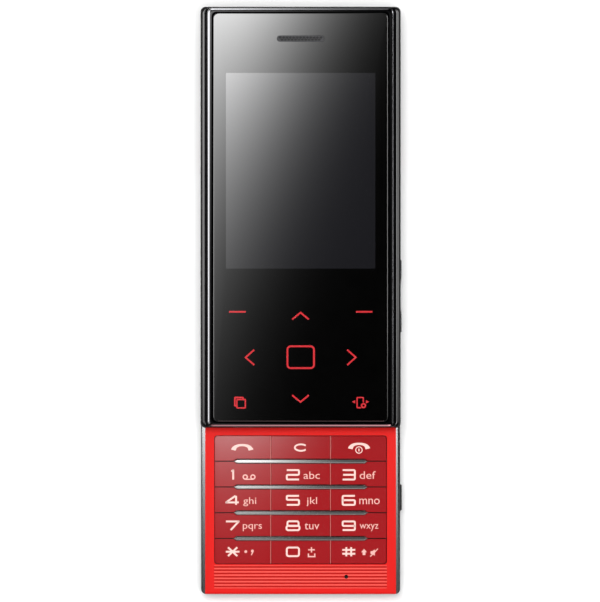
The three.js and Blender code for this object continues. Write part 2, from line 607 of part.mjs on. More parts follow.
function mainBoard() {
  const halfX = INNER_X - BOARD_MARGIN;
  const halfY = INNER_Y - BOARD_MARGIN;
  const notch = CAMERA.size / 2 + FIT;
  const cutters = [block(CAMERA_X, CAMERA_Y, notch, notch, Z_BOARD - OVERRUN, Z_BOARD_TOP + OVERRUN)];
  for (const side of [-1, 1]) {
    cutters.push(rod(BOSS_RADIUS + FIT, side * SCREW_X, SCREW_Y, Z_BOARD - OVERRUN, Z_BOARD_TOP + OVERRUN));
  }
  return cut(slab(halfX, halfY, BOARD_CORNER, Z_BOARD, Z_BOARD_TOP), cutters);
}

function shieldCan() {
  const high = GUIDE_LOW - SHIELD.from_guide;
  const halfX = RAIL_X - SHIELD.side;
  const low = PAD_HIGH + FILM_MARGIN + SHIELD.from_film;
  const top = Z_SKIN - SHIELD.below_skin;
  const hollow = box(
    SHIELD.wall - halfX, halfX - SHIELD.wall, low + SHIELD.wall, high - SHIELD.wall,
    Z_BOARD_TOP - OVERRUN, top - SHIELD.wall,
  );
  return cut(box(-halfX, halfX, low, high, Z_BOARD_TOP, top), [hollow]);
}

// Middle of a key's cell, in columns from the left and rows from the top
function keyMiddle(column, row) {
  return [(COLUMN_EDGES[column] + COLUMN_EDGES[column + 1]) / 2, PAD_HIGH - (row + 0.5) * ROW_PITCH];
}

function domeSheet() {
  const film = slab(
    PAD_X + FILM_MARGIN, PAD_HALF + FILM_MARGIN, PAD_CORNER, Z_BOARD_TOP, Z_FILM_TOP, 0, PAD_MIDDLE,
  );
  const domes = [];
  for (let row = 0; row < KEY_ROWS; row += 1) {
    for (let column = 0; column < KEY_COLUMNS; column += 1) {
      const [x, y] = keyMiddle(column, row);
      const topRadius = DOME_RADIUS * DOME_TOP_SHARE;
      const height = DOME_RISE + DOME_FILM / 2;
      const dome = new THREE.CylinderGeometry(topRadius, DOME_RADIUS, height, SMALL_STEPS);
      dome.rotateX(Math.PI / 2);
      dome.translate(x, y, Z_FILM_TOP + DOME_RISE - height / 2);
      domes.push(toSolid(dome));
    }
  }
  return join([film, ...domes]);
}

// Keypad half: a bright bar between two rows, pointed at both ends
function barShape(row, grow, low, high) {
  const y = PAD_HIGH - (row + 1) * ROW_PITCH;
  const reach = PAD_X - BAR.margin + grow;
  const half = BAR.width / 2 + grow;
  const shoulder = reach - BAR.tip;
  return prism([
    [-reach, y], [-shoulder, y - half], [shoulder, y - half],
    [reach, y], [shoulder, y + half], [-shoulder, y + half],
  ], low, high);
}

function rowBar(row) {
  return barShape(row, 0, Z_FILM_TOP, Z_KEY_TOP + BAR.proud);
}

// A key: its cell of the window, cut clear of the bars, with the nub that presses its dome
function keyPlate(column, row) {
  const left = COLUMN_EDGES[column] + (column === 0 ? 0 : KEY_GAP / 2);
  const right = COLUMN_EDGES[column + 1] - (column === KEY_COLUMNS - 1 ? 0 : KEY_GAP / 2);
  const high = PAD_HIGH - row * ROW_PITCH - (row === 0 ? 0 : KEY_GAP / 2);
  const low = PAD_HIGH - (row + 1) * ROW_PITCH + (row === KEY_ROWS - 1 ? 0 : KEY_GAP / 2);
  const field = slab(PAD_X - WINDOW_GAP, PAD_HALF - WINDOW_GAP, PAD_CORNER, Z_KEY, Z_KEY_TOP, 0, PAD_MIDDLE);
  const cutters = [row - 1, row]
    .filter((bar) => bar >= 0 && bar < KEY_ROWS - 1)
    .map((bar) => barShape(bar, BAR.clearance, Z_KEY - OVERRUN, Z_KEY_TOP + OVERRUN));
  const plate = cut(field.intersect(box(left, right, low, high, Z_KEY, Z_KEY_TOP)), cutters);
  const nub = rod(NUB_RADIUS, ...keyMiddle(column, row), Z_NUB, Z_KEY + KEY_THICK / 2, SMALL_STEPS);
  return join([plate, nub]);
}

function microphone() {
  return rod(MIC.radius, MIC_X, MIC_Y, Z_BOARD_TOP, Z_SKIN - MIC.below_skin);
}

// Keypad half: camera, its lens looking out of the back
function cameraModule() {
  const low = Z_BOARD_TOP - CAMERA.height;
  const half = CAMERA.size / 2;
  const body = slab(half, half, CAMERA_CORNER, low, Z_BOARD_TOP, CAMERA_X, CAMERA_Y);
  const face = WINDOW_SHY + WINDOW_THICK + FIT;
  const barrel = rod(CAMERA.barrel, CAMERA_X, CAMERA_Y, face, low + CAMERA.height / 2);
  const lens = rod(CAMERA_LENS.radius, CAMERA_X, CAMERA_Y, face - OVERRUN, face + CAMERA_LENS.recess);
  return cut(join([body, barrel]), [lens]);
}

function cameraWindow() {
  return rod(CAMERA.window, CAMERA_X, CAMERA_Y, WINDOW_SHY, WINDOW_SHY + WINDOW_THICK);
}

function flashWindow() {
  return rod(FLASH.radius, FLASH_X, CAMERA_Y, WINDOW_SHY, WINDOW_SHY + WINDOW_THICK, SMALL_STEPS);
}

function loudspeaker() {
  const halves = [SPEAKER.width / 2, SPEAKER.length / 2];
  const top = Z_BOARD - SPEAKER.below_board;
  return slab(...halves, SPEAKER.corner, COVER_WALL, top, SPEAKER_X, SPEAKER_Y);
}

// Keypad half: motor lying along X, with the half-round weight on its shaft
function vibrationMotor() {
  const z = COVER_WALL + SEAM + MOTOR_RADIUS;
  const lie = (radius, from, length, arc) => {
    const geometry = new THREE.CylinderGeometry(radius, radius, length, ROUND_STEPS, 1, false, 0, arc);
    geometry.rotateZ(Math.PI / 2);
    geometry.translate(from + length / 2, MOTOR_Y, z);
    return toSolid(geometry);
  };
  const canEnd = MOTOR_X + MOTOR.can / 2;
  const weightStart = canEnd + MOTOR.gap;
  const disc = lie(MOTOR_RADIUS - SEAM, weightStart, MOTOR.weight, 2 * Math.PI);
  const upperHalf = box(
    weightStart - OVERRUN, weightStart + MOTOR.weight + OVERRUN,
    MOTOR_Y - MOTOR_RADIUS - OVERRUN, MOTOR_Y + MOTOR_RADIUS + OVERRUN,
    z + MOTOR.shaft, z + MOTOR_RADIUS + OVERRUN,
  );
  const shaft = lie(MOTOR.shaft, canEnd - MOTOR.gap, MOTOR.weight + MOTOR.gap, 2 * Math.PI);
  const can = lie(MOTOR_RADIUS, canEnd - MOTOR.can, MOTOR.can, 2 * Math.PI);
  return join([can, shaft, cut(disc, [upperHalf])]);
}

// Keypad half: connector, open towards the left side, with its tongue inside
function usbConnector() {
  const top = Z_BOARD - SEAM;
  const low = top - USB.height;
  const half = USB.width / 2;
  const mouth = -BLOCK_X;
  const back = mouth + USB.depth;
  const body = box(mouth, back, USB_Y - half, USB_Y + half, low, top);
  const hollow = box(
    mouth - OVERRUN, back - USB_TONGUE.back, USB_Y - half + USB.wall, USB_Y + half - USB.wall,
    low + USB.wall, top - USB.wall,
  );
  const middle = (low + top) / 2;
  const tongueHalf = half - USB.wall - USB_TONGUE.margin;
  const tongue = box(
    mouth + USB_TONGUE.margin, back - USB_TONGUE.back / 2, USB_Y - tongueHalf, USB_Y + tongueHalf,
    middle - USB_TONGUE.thick / 2, middle + USB_TONGUE.thick / 2,
  );
  return join([cut(body, [hollow]), tongue]);
}

// The cover over the connector: a piece of the rail's own section, round at its hinge end
const PORT_AXIS = { x: SEAM + PORT.end_radius - RAIL_X, y: USB_Y + PORT.half_length - PORT.end_radius };

function portCover() {
  const flap = box(
    -RAIL_X - OVERRUN, PORT_AXIS.x + PORT.end_radius, USB_Y - PORT.half_length, PORT_AXIS.y,
    PORT.low, PORT.high,
  );
  const end = rod(PORT.end_radius, PORT_AXIS.x, PORT_AXIS.y, PORT.low, PORT.high);
  return join([flap, end]).intersect(railSection(-1));
}

// A side key: a flange inside the wall and a body that stands proud of the rail
function sideKey(y, half, pad, dip) {
  const flangeOuter = COVER_X - KEY_FLANGE.swing;
  const flangeInner = flangeOuter - KEY_FLANGE.depth;
  const over = half + KEY_FLANGE.over;
  const face = RAIL_X + KEY_SIDE.proud;
  const shoulder = half - KEY_SIDE.corner;
  const points = [[flangeInner, y - over], [flangeOuter, y - over], [flangeOuter, y - half]];
  points.push([face - KEY_SIDE.corner, y - half], [face, y - shoulder]);
  if (dip > 0) {
    points.push([face, y - half + pad], [face - dip, y - half + pad + dip]);
    points.push([face - dip, y + half - pad - dip], [face, y + half - pad]);
  }
  points.push([face, y + shoulder], [face - KEY_SIDE.corner, y + half]);
  points.push([flangeOuter, y + half], [flangeOuter, y + over], [flangeInner, y + over]);
  return prism(points, KEY_SIDE.low, KEY_SIDE.high);
}

function cameraKey() {
  return sideKey(CAMERA_KEY_Y, CAMERA_KEY.length / 2, 0, 0);
}

function volumeRocker() {
  return sideKey(ROCKER_Y, ROCKER.length / 2, ROCKER.pad, ROCKER.dip);
}

function housingScrew(side) {
  const low = Z_BATTERY + FIT;
  const place = [side * SCREW_X, SCREW_Y];
  const head = rod(SCREW.head_radius, ...place, low, low + SCREW.head);
  const shank = rod(SCREW.shank_radius, ...place, low + SCREW.head / 2, Z_SKIN - FIT, SMALL_STEPS);
  return join([head, shank]);
}

// Slide: the guide's base plate, with walls and inturned lips along both sides
function guidePlate() {
  const base = box(-GUIDE_X, GUIDE_X, GUIDE_LOW, GUIDE_HIGH, Z_SKIN, Z_GUIDE_TOP);
  const through = [Z_SKIN - OVERRUN, Z_GUIDE_TOP + OVERRUN];
  const cutters = [flexSlot(FLEX_LOW, ...through)];
  const solids = [base];
  for (const side of [-1, 1]) {
    for (const y of POST_YS) {
      cutters.push(rod(POST.radius + SEAM, side * POST_X, y, ...through, SMALL_STEPS));
    }
    solids.push(runAlong([
      [side * GUIDE_X, Z_SKIN], [side * GUIDE_X, Z_LIP_TOP],
      [side * (GUIDE_X - GUIDE_LIP_WIDTH), Z_LIP_TOP], [side * (GUIDE_X - GUIDE_LIP_WIDTH), Z_GLIDE_TOP],
      [side * GLIDE_X, Z_GLIDE_TOP], [side * GLIDE_X, Z_SKIN],
    ], GUIDE_LOW, GUIDE_HIGH));
  }
  const pinTop = (Z_GUIDE_TOP + Z_PLATE) / 2 + SPRING.wire;
  const pin = rod(SPRING.pin, SPRING_LOW_X, SPRING_LOW_Y, Z_SKIN + GUIDE_BASE / 2, pinTop, SMALL_STEPS);
  return join([cut(join(solids), cutters), pin]);
}

// Slide: a low-friction liner that wraps the slide plate's edge
function glide(side) {
  const inner = side * GLIDE_INNER_X;
  const outer = side * GLIDE_X;
  const web = side * (GLIDE_X - GLIDE_WEB);
  const slotTop = Z_PLATE_TOP + RUNNING;
  const slotLow = Z_PLATE - RUNNING;
  return runAlong([
    [inner, Z_GUIDE_TOP], [outer, Z_GUIDE_TOP], [outer, Z_GLIDE_TOP], [inner, Z_GLIDE_TOP],
    [inner, slotTop], [web, slotTop], [web, slotLow], [inner, slotLow],
  ], GUIDE_LOW, GUIDE_HIGH);
}

// A wire run along a list of curves in a level plane
function wire(path, radius, steps, sides) {
  const section = new THREE.Shape();
  for (let i = 0; i < sides; i += 1) {
    const angle = i / sides * 2 * Math.PI;
    const place = [radius * Math.cos(angle), radius * Math.sin(angle)];
    if (i === 0) section.moveTo(...place);
    else section.lineTo(...place);
  }
  return toSolid(new THREE.ExtrudeGeometry(section, { extrudePath: path, steps, bevelEnabled: false }));
}

// Slide: the spring that snaps the halves open or closed, an eye at each pin and a bow between
function slideSpring() {
  const z = (Z_GUIDE_TOP + Z_PLATE) / 2;
  const low = new THREE.Vector3(SPRING_LOW_X, SPRING_LOW_Y, z);
  const high = new THREE.Vector3(SPRING_HIGH_X, SPRING_HIGH_Y, z);
  const along = high.clone().sub(low).normalize();
  const aside = new THREE.Vector3(-along.y, along.x, 0);
  const middle = low.clone().add(high).divideScalar(2);
  const place = (lengthwise, sideways) => middle.clone()
    .addScaledVector(along, lengthwise * SPRING.loop)
    .addScaledVector(aside, sideways * SPRING.loop);
  const points = [
    low.clone().addScaledVector(along, SPRING.eye),
    ...BOW_SHARES.map(([lengthwise, sideways]) => place(lengthwise, sideways)),
    high.clone().addScaledVector(along, -SPRING.eye),
  ];
  const arms = wire(new THREE.CatmullRomCurve3(points), SPRING.wire, BOW_STEPS, WIRE_SIDES);
  const eyes = [low, high].map((centre) => {
    const ring = new THREE.TorusGeometry(SPRING.eye, SPRING.wire, WIRE_SIDES, SMALL_STEPS);
    ring.translate(centre.x, centre.y, centre.z);
    return toSolid(ring);
  });
  return join([arms, ...eyes]);
}

// Slide: flexible printed cable, up through the guide, round its bend and up into the display half
function flexCable() {
  const half = FLEX.thick / 2;
  const lower = Z_GUIDE_TOP + SEAM + half;
  const upper = Z_PLATE - SEAM - half;
  const bend = (upper - lower) / 2;
  const points = [
    [FLEX_LOW - half, Z_BOARD_TOP], [FLEX_LOW + half, Z_BOARD_TOP],
    [FLEX_LOW + half, lower - half], [FLEX_BEND, lower - half],
  ];
  const arc = (radius, from, to) => {
    for (let step = 1; step < ROLL_STEPS; step += 1) {
      const angle = (from + (to - from) * step / ROLL_STEPS) * Math.PI / 2;
      points.push([FLEX_BEND + radius * Math.cos(angle), (lower + upper) / 2 + radius * Math.sin(angle)]);
    }
  };
  arc(bend + half, -1, 1);
  points.push([FLEX_BEND, upper + half], [FLEX_RISE + half, upper + half], [FLEX_RISE + half, Z_CASE_FLOOR]);
  points.push([FLEX_RISE - half, Z_CASE_FLOOR], [FLEX_RISE - half, upper - half], [FLEX_BEND, upper - half]);
  arc(bend - half, 1, -1);
  points.push([FLEX_BEND, lower + half], [FLEX_LOW - half, lower + half]);
  const shape = new THREE.Shape(points.map((point) => new THREE.Vector2(...point)));
  const geometry = new THREE.ExtrudeGeometry(shape, { depth: FLEX.width, bevelEnabled: false });
  geometry.rotateX(Math.PI / 2);
  geometry.rotateZ(Math.PI / 2);
  geometry.translate(FLEX_X - FLEX.width / 2, 0, 0);
  return toSolid(geometry);
}

// The places of the screws that hold the slide plate, on the display half
const SLIDE_SCREW_PLACES = [PLATE_LOW + SLIDE_SCREW_PLACE.from_end, PLATE_HIGH - SLIDE_SCREW_PLACE.from_end]
  .flatMap((y) => [-1, 1].map((side) => [side * SLIDE_SCREW_X, y]));

function slidePlate() {
  const plate = box(-PLATE_X, PLATE_X, PLATE_LOW, PLATE_HIGH, Z_PLATE, Z_PLATE_TOP);
  const cutters = [flexSlot(FLEX_RISE - SLIDE_TRAVEL, Z_PLATE - OVERRUN, Z_PLATE_TOP + OVERRUN)];
  const sink = Z_PLATE + SLIDE_SCREW.head;
  for (const [x, y] of SLIDE_SCREW_PLACES) {
    cutters.push(rod(SLIDE_SCREW.head_radius + FIT, x, y, Z_PLATE - OVERRUN, sink, SMALL_STEPS));
    cutters.push(rod(SLIDE_SCREW.shank_radius + FIT, x, y, Z_PLATE, Z_PLATE_TOP + OVERRUN, SMALL_STEPS));
  }
  const middle = (Z_GUIDE_TOP + Z_PLATE) / 2;
  const pinY = SPRING_HIGH_Y - SLIDE_TRAVEL;
  const pinTop = Z_PLATE + SLIDE_PLATE_THICK / 2;
  const pin = rod(SPRING.pin, SPRING_HIGH_X, pinY, middle - SPRING.wire, pinTop, SMALL_STEPS);
  return join([cut(plate, cutters), pin]);
}

function slideScrew([x, y]) {
  const head = rod(SLIDE_SCREW.head_radius, x, y, Z_PLATE, Z_PLATE + SLIDE_SCREW.head, SMALL_STEPS);
  const tip = Z_PLATE_TOP + SLIDE_SCREW.bite;
  const shank = rod(SLIDE_SCREW.shank_radius, x, y, Z_PLATE + SLIDE_SCREW.head / 2, tip, SMALL_STEPS);
  return join([head, shank]);
}

// Display half: rear case, with the slide's channels in its back and the screen's tray in front
function upperRearCase() {
  const low = rollRings(
    HALF_WIDTH, HALF_LENGTH, CORNER_RADIUS, CASE_LOW_ROLL, Z_UPPER, Z_UPPER + CASE_LOW_ROLL.rise,
  );
  const high = rollRings(
    HALF_WIDTH, HALF_LENGTH, CORNER_RADIUS, CASE_HIGH_ROLL, Z_CASE_TOP, Z_CASE_TOP - CASE_HIGH_ROLL.rise,
  );
  const channelInner = GLIDE_INNER_X - CHANNEL_FIT;
  const channelOuter = GUIDE_X + CHANNEL_FIT;
  const front = PLATE_LOW - FIT;
  const back = PLATE_HIGH + FIT;
  const cutters = [
    slab(BEZEL_X + FIT, BEZEL_Y + FIT, GLASS_CORNER, Z_BEZEL, Z_CASE_TOP + OVERRUN),
    slab(CAVITY_X, CAVITY_Y, CORNER_RADIUS, Z_CASE_FLOOR, Z_BEZEL + OVERRUN),
    box(-channelOuter, channelOuter, front, back, Z_UPPER - OVERRUN, Z_PLATE_TOP),
    box(channelInner, channelOuter, front, back, Z_UPPER - OVERRUN, Z_CHANNEL),
    box(-channelOuter, -channelInner, front, back, Z_UPPER - OVERRUN, Z_CHANNEL),
    flexSlot(FLEX_RISE - SLIDE_TRAVEL, Z_UPPER - OVERRUN, Z_CASE_FLOOR + OVERRUN),
  ];
  for (const [x, y] of SLIDE_SCREW_PLACES) {
    const top = Z_PLATE_TOP + SLIDE_SCREW.bite + SEAM;
    cutters.push(rod(SLIDE_SCREW.shank_radius + SEAM, x, y, Z_UPPER, top, SMALL_STEPS));
  }
  return cut(loft(low.concat(high.reverse())), cutters);
}

// Display half: bezel round the glass, chamfered outside, with a lip that carries the glass
function frontBezel() {
  const full = outline(BEZEL_X, BEZEL_Y, GLASS_CORNER);
  const drawnIn = outline(BEZEL_X - BEZEL_CHAMFER, BEZEL_Y - BEZEL_CHAMFER, GLASS_CORNER);
  const frame = loft([
    { points: full, z: Z_BEZEL },
    { points: full, z: Z_BEZEL_TOP - BEZEL_CHAMFER },
    { points: drawnIn, z: Z_BEZEL_TOP },
  ]);
  const lipX = GLASS_SEAT_X - LIP_WIDTH;
  const lipY = GLASS_SEAT_Y - LIP_WIDTH;
  return cut(frame, [
    slab(GLASS_SEAT_X, GLASS_SEAT_Y, GLASS_CORNER, Z_GLASS, Z_BEZEL_TOP + OVERRUN),
    slab(lipX, lipY, GLASS_CORNER, Z_BEZEL - OVERRUN, Z_GLASS + OVERRUN),
  ]);
}

function frontGlass() {
  const full = outline(GLASS_SEAT_X - FIT, GLASS_SEAT_Y - FIT, GLASS_CORNER);
  const top = outline(GLASS_SEAT_X - FIT - GLASS_CHAMFER, GLASS_SEAT_Y - FIT - GLASS_CHAMFER, GLASS_CORNER);
  const pane = loft([
    { points: full, z: Z_GLASS },
    { points: full, z: Z_GLASS_TOP - GLASS_CHAMFER },
    { points: top, z: Z_GLASS_TOP },
  ]);
  return cut(pane, [slab(
    EARPIECE.width / 2, EARPIECE.height / 2, EARPIECE.corner,
    Z_GLASS - OVERRUN, Z_GLASS_TOP + OVERRUN, 0, EARPIECE_Y,
  )]);
}

// Display half: earpiece grille, two staggered rows of diamond holes
function earpieceGrille() {
  const top = Z_GLASS_TOP - EARPIECE.recess;
  const low = top - EARPIECE.mesh_thick;
  const halfX = EARPIECE.width / 2 - FIT;
  const plate = slab(halfX, EARPIECE.height / 2 - FIT, EARPIECE.corner, low, top, 0, EARPIECE_Y);
  const pitch = 2 * (halfX - EARPIECE.corner) / EARPIECE_MESH.columns;
  const reach = EARPIECE_MESH.half;
  const diamonds = [];
  for (const side of [-1, 1]) {
    for (let i = 0; i < EARPIECE_MESH.columns; i += 1) {
      const x = (i - EARPIECE_MESH.columns / 2 + 0.5 + side / 4) * pitch;
      const y = EARPIECE_Y + side * EARPIECE_MESH.row;
      diamonds.push(prism(
        [[x - reach, y], [x, y - reach], [x + reach, y], [x, y + reach]],
        low - OVERRUN, top + OVERRUN,
      ));
    }
  }
  return cut(plate, diamonds);
}

function receiver() {
  const top = Z_CASE_FLOOR + RECEIVER.height;
  return slab(RECEIVER.width / 2, RECEIVER.length / 2, RECEIVER.corner, Z_CASE_FLOOR, top, 0, EARPIECE_Y);
}

// Display half: screen module, its glass set back from its frame
function displayPanel() {
  const halfX = GLASS_SEAT_X - LIP_WIDTH - PANEL.from_lip;
  const frame = box(-halfX, halfX, PANEL_LOW, PANEL_HIGH, Z_CASE_FLOOR, Z_PANEL_TOP);
  const recess = box(
    PANEL.frame - halfX, halfX - PANEL.frame, PANEL_LOW + PANEL.frame, PANEL_HIGH - PANEL.frame,
    Z_PANEL_TOP - PANEL.recess, Z_PANEL_TOP + OVERRUN,
  );
  return cut(frame, [recess]);
}

function displayBoard() {
  const halfX = HALF_WIDTH - DISPLAY_BOARD.side;
  const low = DISPLAY_BOARD.from_bottom - HALF_LENGTH;
  const high = PANEL_LOW - DISPLAY_BOARD.below_panel;
  const top = Z_CASE_FLOOR + DISPLAY_BOARD.thick;
  const board = box(-halfX, halfX, low, high, Z_CASE_FLOOR, top);
  const connector = block(
    FLEX_X, high - CONNECTOR.from_edge - CONNECTOR.length / 2, CONNECTOR.width / 2, CONNECTOR.length / 2,
    top - DISPLAY_BOARD.thick / 2, Z_GLASS - TOUCH.thick - CONNECTOR.below_touch,
  );
  return join([board, connector]);
}

function touchSensor() {
  const halfX = HALF_WIDTH - TOUCH.side;
  const low = TOUCH.from_bottom - HALF_LENGTH;
  return box(-halfX, halfX, low, PANEL_LOW - TOUCH.below_panel, Z_GLASS - TOUCH.thick, Z_GLASS);
}

// The keypad half's pieces
const KEY_NAMES = [
  ['key_call', 'key_clear', 'key_end'],
  ['key_1', 'key_2', 'key_3'],
  ['key_4', 'key_5', 'key_6'],
  ['key_7', 'key_8', 'key_9'],
  ['key_star', 'key_0', 'key_hash'],
];
const keypadHalf = new THREE.Group();
addPiece(keypadHalf, 'lower_front_cover', frontCover(), FINISH.red_shell);
addPiece(keypadHalf, 'side_rail_left', railLeft(), FINISH.rail_metal);
addPiece(keypadHalf, 'side_rail_right', railRight(), FINISH.rail_metal);
addPiece(keypadHalf, 'lower_rear_housing', rearHousing(), FINISH.matt_black);
addPiece(keypadHalf, 'battery_cover', batteryCover(), FINISH.matt_black);
addPiece(keypadHalf, 'battery', battery(), FINISH.battery);
addPiece(keypadHalf, 'battery_contacts', batteryContacts(), FINISH.gold);
addPiece(keypadHalf, 'sim_holder', simHolder(), FINISH.steel);
addPiece(keypadHalf, 'main_board', mainBoard(), FINISH.board);
addPiece(keypadHalf, 'shield_can', shieldCan(), FINISH.steel);
addPiece(keypadHalf, 'dome_sheet', domeSheet(), FINISH.film);
for (let row = 0; row < KEY_ROWS; row += 1) {
  for (let column = 0; column < KEY_COLUMNS; column += 1) {
    addPiece(keypadHalf, KEY_NAMES[row][column], keyPlate(column, row), FINISH.red_keys);
  }
}
for (let row = 0; row + 1 < KEY_ROWS; row += 1) {
  addPiece(keypadHalf, `row_bar_${row + 1}`, rowBar(row), FINISH.bar_metal);
}
addPiece(keypadHalf, 'microphone', microphone(), FINISH.dark_steel);
addPiece(keypadHalf, 'camera_module', cameraModule(), FINISH.matt_black);
addPiece(keypadHalf, 'camera_window', cameraWindow(), FINISH.glass_black);
addPiece(keypadHalf, 'flash_window', flashWindow(), FINISH.clear_lens);
addPiece(keypadHalf, 'loudspeaker', loudspeaker(), FINISH.grey_plastic);
addPiece(keypadHalf, 'vibration_motor', vibrationMotor(), FINISH.steel);
addPiece(keypadHalf, 'usb_connector', usbConnector(), FINISH.steel);
addPiece(keypadHalf, 'port_cover', portCover(), FINISH.rail_metal);
addPiece(keypadHalf, 'camera_key', cameraKey(), FINISH.dark_steel);
addPiece(keypadHalf, 'volume_rocker', volumeRocker(), FINISH.dark_steel);
addPiece(keypadHalf, 'housing_screw_1', housingScrew(-1), FINISH.steel);
addPiece(keypadHalf, 'housing_screw_2', housingScrew(1), FINISH.steel);
addPiece(keypadHalf, 'guide_plate', guidePlate(), FINISH.dark_steel);
addPiece(keypadHalf, 'glide_left', glide(-1), FINISH.white_plastic);
addPiece(keypadHalf, 'glide_right', glide(1), FINISH.white_plastic);
addPiece(keypadHalf, 'slide_spring', slideSpring(), FINISH.steel);
addPiece(keypadHalf, 'flex_cable', flexCable(), FINISH.flex);

// The display half's pieces, slid open by the slide's travel
const displayHalf = new THREE.Group();
displayHalf.position.y = SLIDE_TRAVEL;
addPiece(displayHalf, 'upper_rear_case', upperRearCase(), FINISH.gloss_black);
addPiece(displayHalf, 'front_bezel', frontBezel(), FINISH.gloss_black);
addPiece(displayHalf, 'front_glass', frontGlass(), FINISH.glass_black);
addPiece(displayHalf, 'earpiece_grille', earpieceGrille(), FINISH.dark_steel);
addPiece(displayHalf, 'receiver', receiver(), FINISH.matt_black);
addPiece(displayHalf, 'display_panel', displayPanel(), FINISH.display);
addPiece(displayHalf, 'display_board', displayBoard(), FINISH.board);
addPiece(displayHalf, 'touch_sensor', touchSensor(), FINISH.film);
addPiece(displayHalf, 'slide_plate', slidePlate(), FINISH.steel);
SLIDE_SCREW_PLACES.forEach((place, i) => {
  addPiece(displayHalf, `slide_screw_${i + 1}`, slideScrew(place), FINISH.dark_steel);
});

const phone = new THREE.Group();
phone.add(keypadHalf, displayHalf);

export default phone;
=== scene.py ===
import math

import bpy
from mathutils import Matrix, Vector


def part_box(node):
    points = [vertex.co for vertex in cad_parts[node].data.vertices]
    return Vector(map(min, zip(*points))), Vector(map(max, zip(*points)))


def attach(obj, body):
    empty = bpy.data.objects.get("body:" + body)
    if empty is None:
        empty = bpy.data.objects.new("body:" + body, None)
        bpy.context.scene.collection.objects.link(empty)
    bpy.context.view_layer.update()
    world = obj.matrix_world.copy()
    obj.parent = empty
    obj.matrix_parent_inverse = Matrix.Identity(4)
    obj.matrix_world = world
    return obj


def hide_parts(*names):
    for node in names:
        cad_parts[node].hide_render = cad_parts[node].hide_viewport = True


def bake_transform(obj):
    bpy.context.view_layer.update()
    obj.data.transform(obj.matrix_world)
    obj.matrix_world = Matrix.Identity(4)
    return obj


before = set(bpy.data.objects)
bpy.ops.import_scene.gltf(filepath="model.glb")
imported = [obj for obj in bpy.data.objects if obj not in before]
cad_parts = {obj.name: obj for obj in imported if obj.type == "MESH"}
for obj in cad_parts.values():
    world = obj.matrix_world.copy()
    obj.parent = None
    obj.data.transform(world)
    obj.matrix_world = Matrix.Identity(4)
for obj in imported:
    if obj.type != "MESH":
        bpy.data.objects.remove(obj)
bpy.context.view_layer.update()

MM = 0.001

# Sizes of the solid model, in millimetres
HALF_WIDTH = 25.4
HALF_LENGTH = 53.45
SLIDE_TRAVEL = 42.3
CORNER = 1.3
FIT = 0.1
SEAM = 0.05
RAIL_X = 25.3
HOUSING_X = 24.95
COVER_X = 24.25
INNER_X = 23.45
INNER_Y = 52.65
BLOCK_X = 23.35
TRAY_X = 24.15
COVER_EDGE = 22.45
BAY_X = 19.1
BAY_LOW = -42.95
BAY_HIGH = 21.55
PAD_X = 21.95
PAD_LOW = -45.85
PAD_HIGH = -13.12
PAD_CORNER = 0.8
ROWS = 5
COLUMNS = 3
ROW_PITCH = (PAD_HIGH - PAD_LOW) / ROWS
COLUMN_X = 7.6
COLUMN_EDGES = (-PAD_X, -COLUMN_X, COLUMN_X, PAD_X)
GUIDE_X = 18.1
GUIDE_LOW = 4.85
GUIDE_HIGH = 50.85
PLATE_LOW = -38.8
PLATE_HIGH = 51.5
CHANNEL_INNER_X = 15.7
CHANNEL_OUTER_X = 18.3
BEZEL_X = 23.55
BEZEL_Y = 52.9
SEAT_X = 22.3
SEAT_Y = 51.95
GLASS_CORNER = 1.2
EARPIECE_Y = 45.35

# Levels, from the back at 0
Z_TRAY = 0.8
Z_RIM = 1.3
Z_RAIL = 1.8
Z_BOARD = 4.4
Z_KEY = 6.0
Z_SKIN = 6.2
Z_RAIL_TOP = 6.6
Z_KEY_TOP = 6.7
Z_BAR_TOP = 6.9
Z_FRONT = 7.0
Z_UPPER = 7.2
Z_PLATE = 7.4
Z_PLATE_TOP = 7.9
Z_CHANNEL = 8.9
Z_CASE_FLOOR = 9.3
Z_BEZEL = 10.6
Z_GLASS = 11.1
Z_CASE_TOP = 11.4
Z_BEZEL_TOP = 12.05
Z_GLASS_TOP = 12.2

# Facets of round forms
CORNER_STEPS = 8
ROLL_STEPS = 8
ROUND_STEPS = 48
SMALL_STEPS = 24
DOT_STEPS = 20
QUARTER = math.pi / 2

# How far a cut runs past what it cuts, and a reach beyond the phone on each side
OVERRUN = 1
BEYOND_X = 30
BEYOND_Y = 60

# The photo's scale, and its pixels on the phone's middle and top end
PIXELS_PER_MM = 3.941
PHOTO_MIDDLE = 300.6
PHOTO_TOP = 6.66
TOP_END = HALF_LENGTH + SLIDE_TRAVEL

KEYPAD = "keypad_half"
DISPLAY = "display_half"


# Forms, in millimetres

UPWARD = ((-1, -1), (1, -1), (1, 1), (-1, 1))
DOWNWARD = ((-1, -1), (-1, 1), (1, 1), (1, -1))


def made(corners, faces):
    """A mesh from its corners and faces."""
    mesh = bpy.data.meshes.new("form")
    mesh.from_pydata(corners, [], faces)
    return mesh


def sheet(half_x, half_y, facing):
    """One flat face that looks upward or downward."""
    return made([(x * half_x, y * half_y, 0) for x, y in facing], [(0, 1, 2, 3)])


def added(name, data):
    """A new object in the scene."""
    obj = bpy.data.objects.new(name, data)
    bpy.context.collection.objects.link(obj)
    return obj


def rounded(half_x, half_y, radius, x=0, y=0):
    """A rounded rectangle's points, anticlockwise."""
    points = []
    for corner in range(4):
        side_x = 1 if corner in (0, 3) else -1
        side_y = 1 if corner < 2 else -1
        for step in range(CORNER_STEPS + 1):
            angle = (corner + step / CORNER_STEPS) * QUARTER
            points.append((
                x + side_x * (half_x - radius) + radius * math.cos(angle),
                y + side_y * (half_y - radius) + radius * math.sin(angle),
            ))
    return points


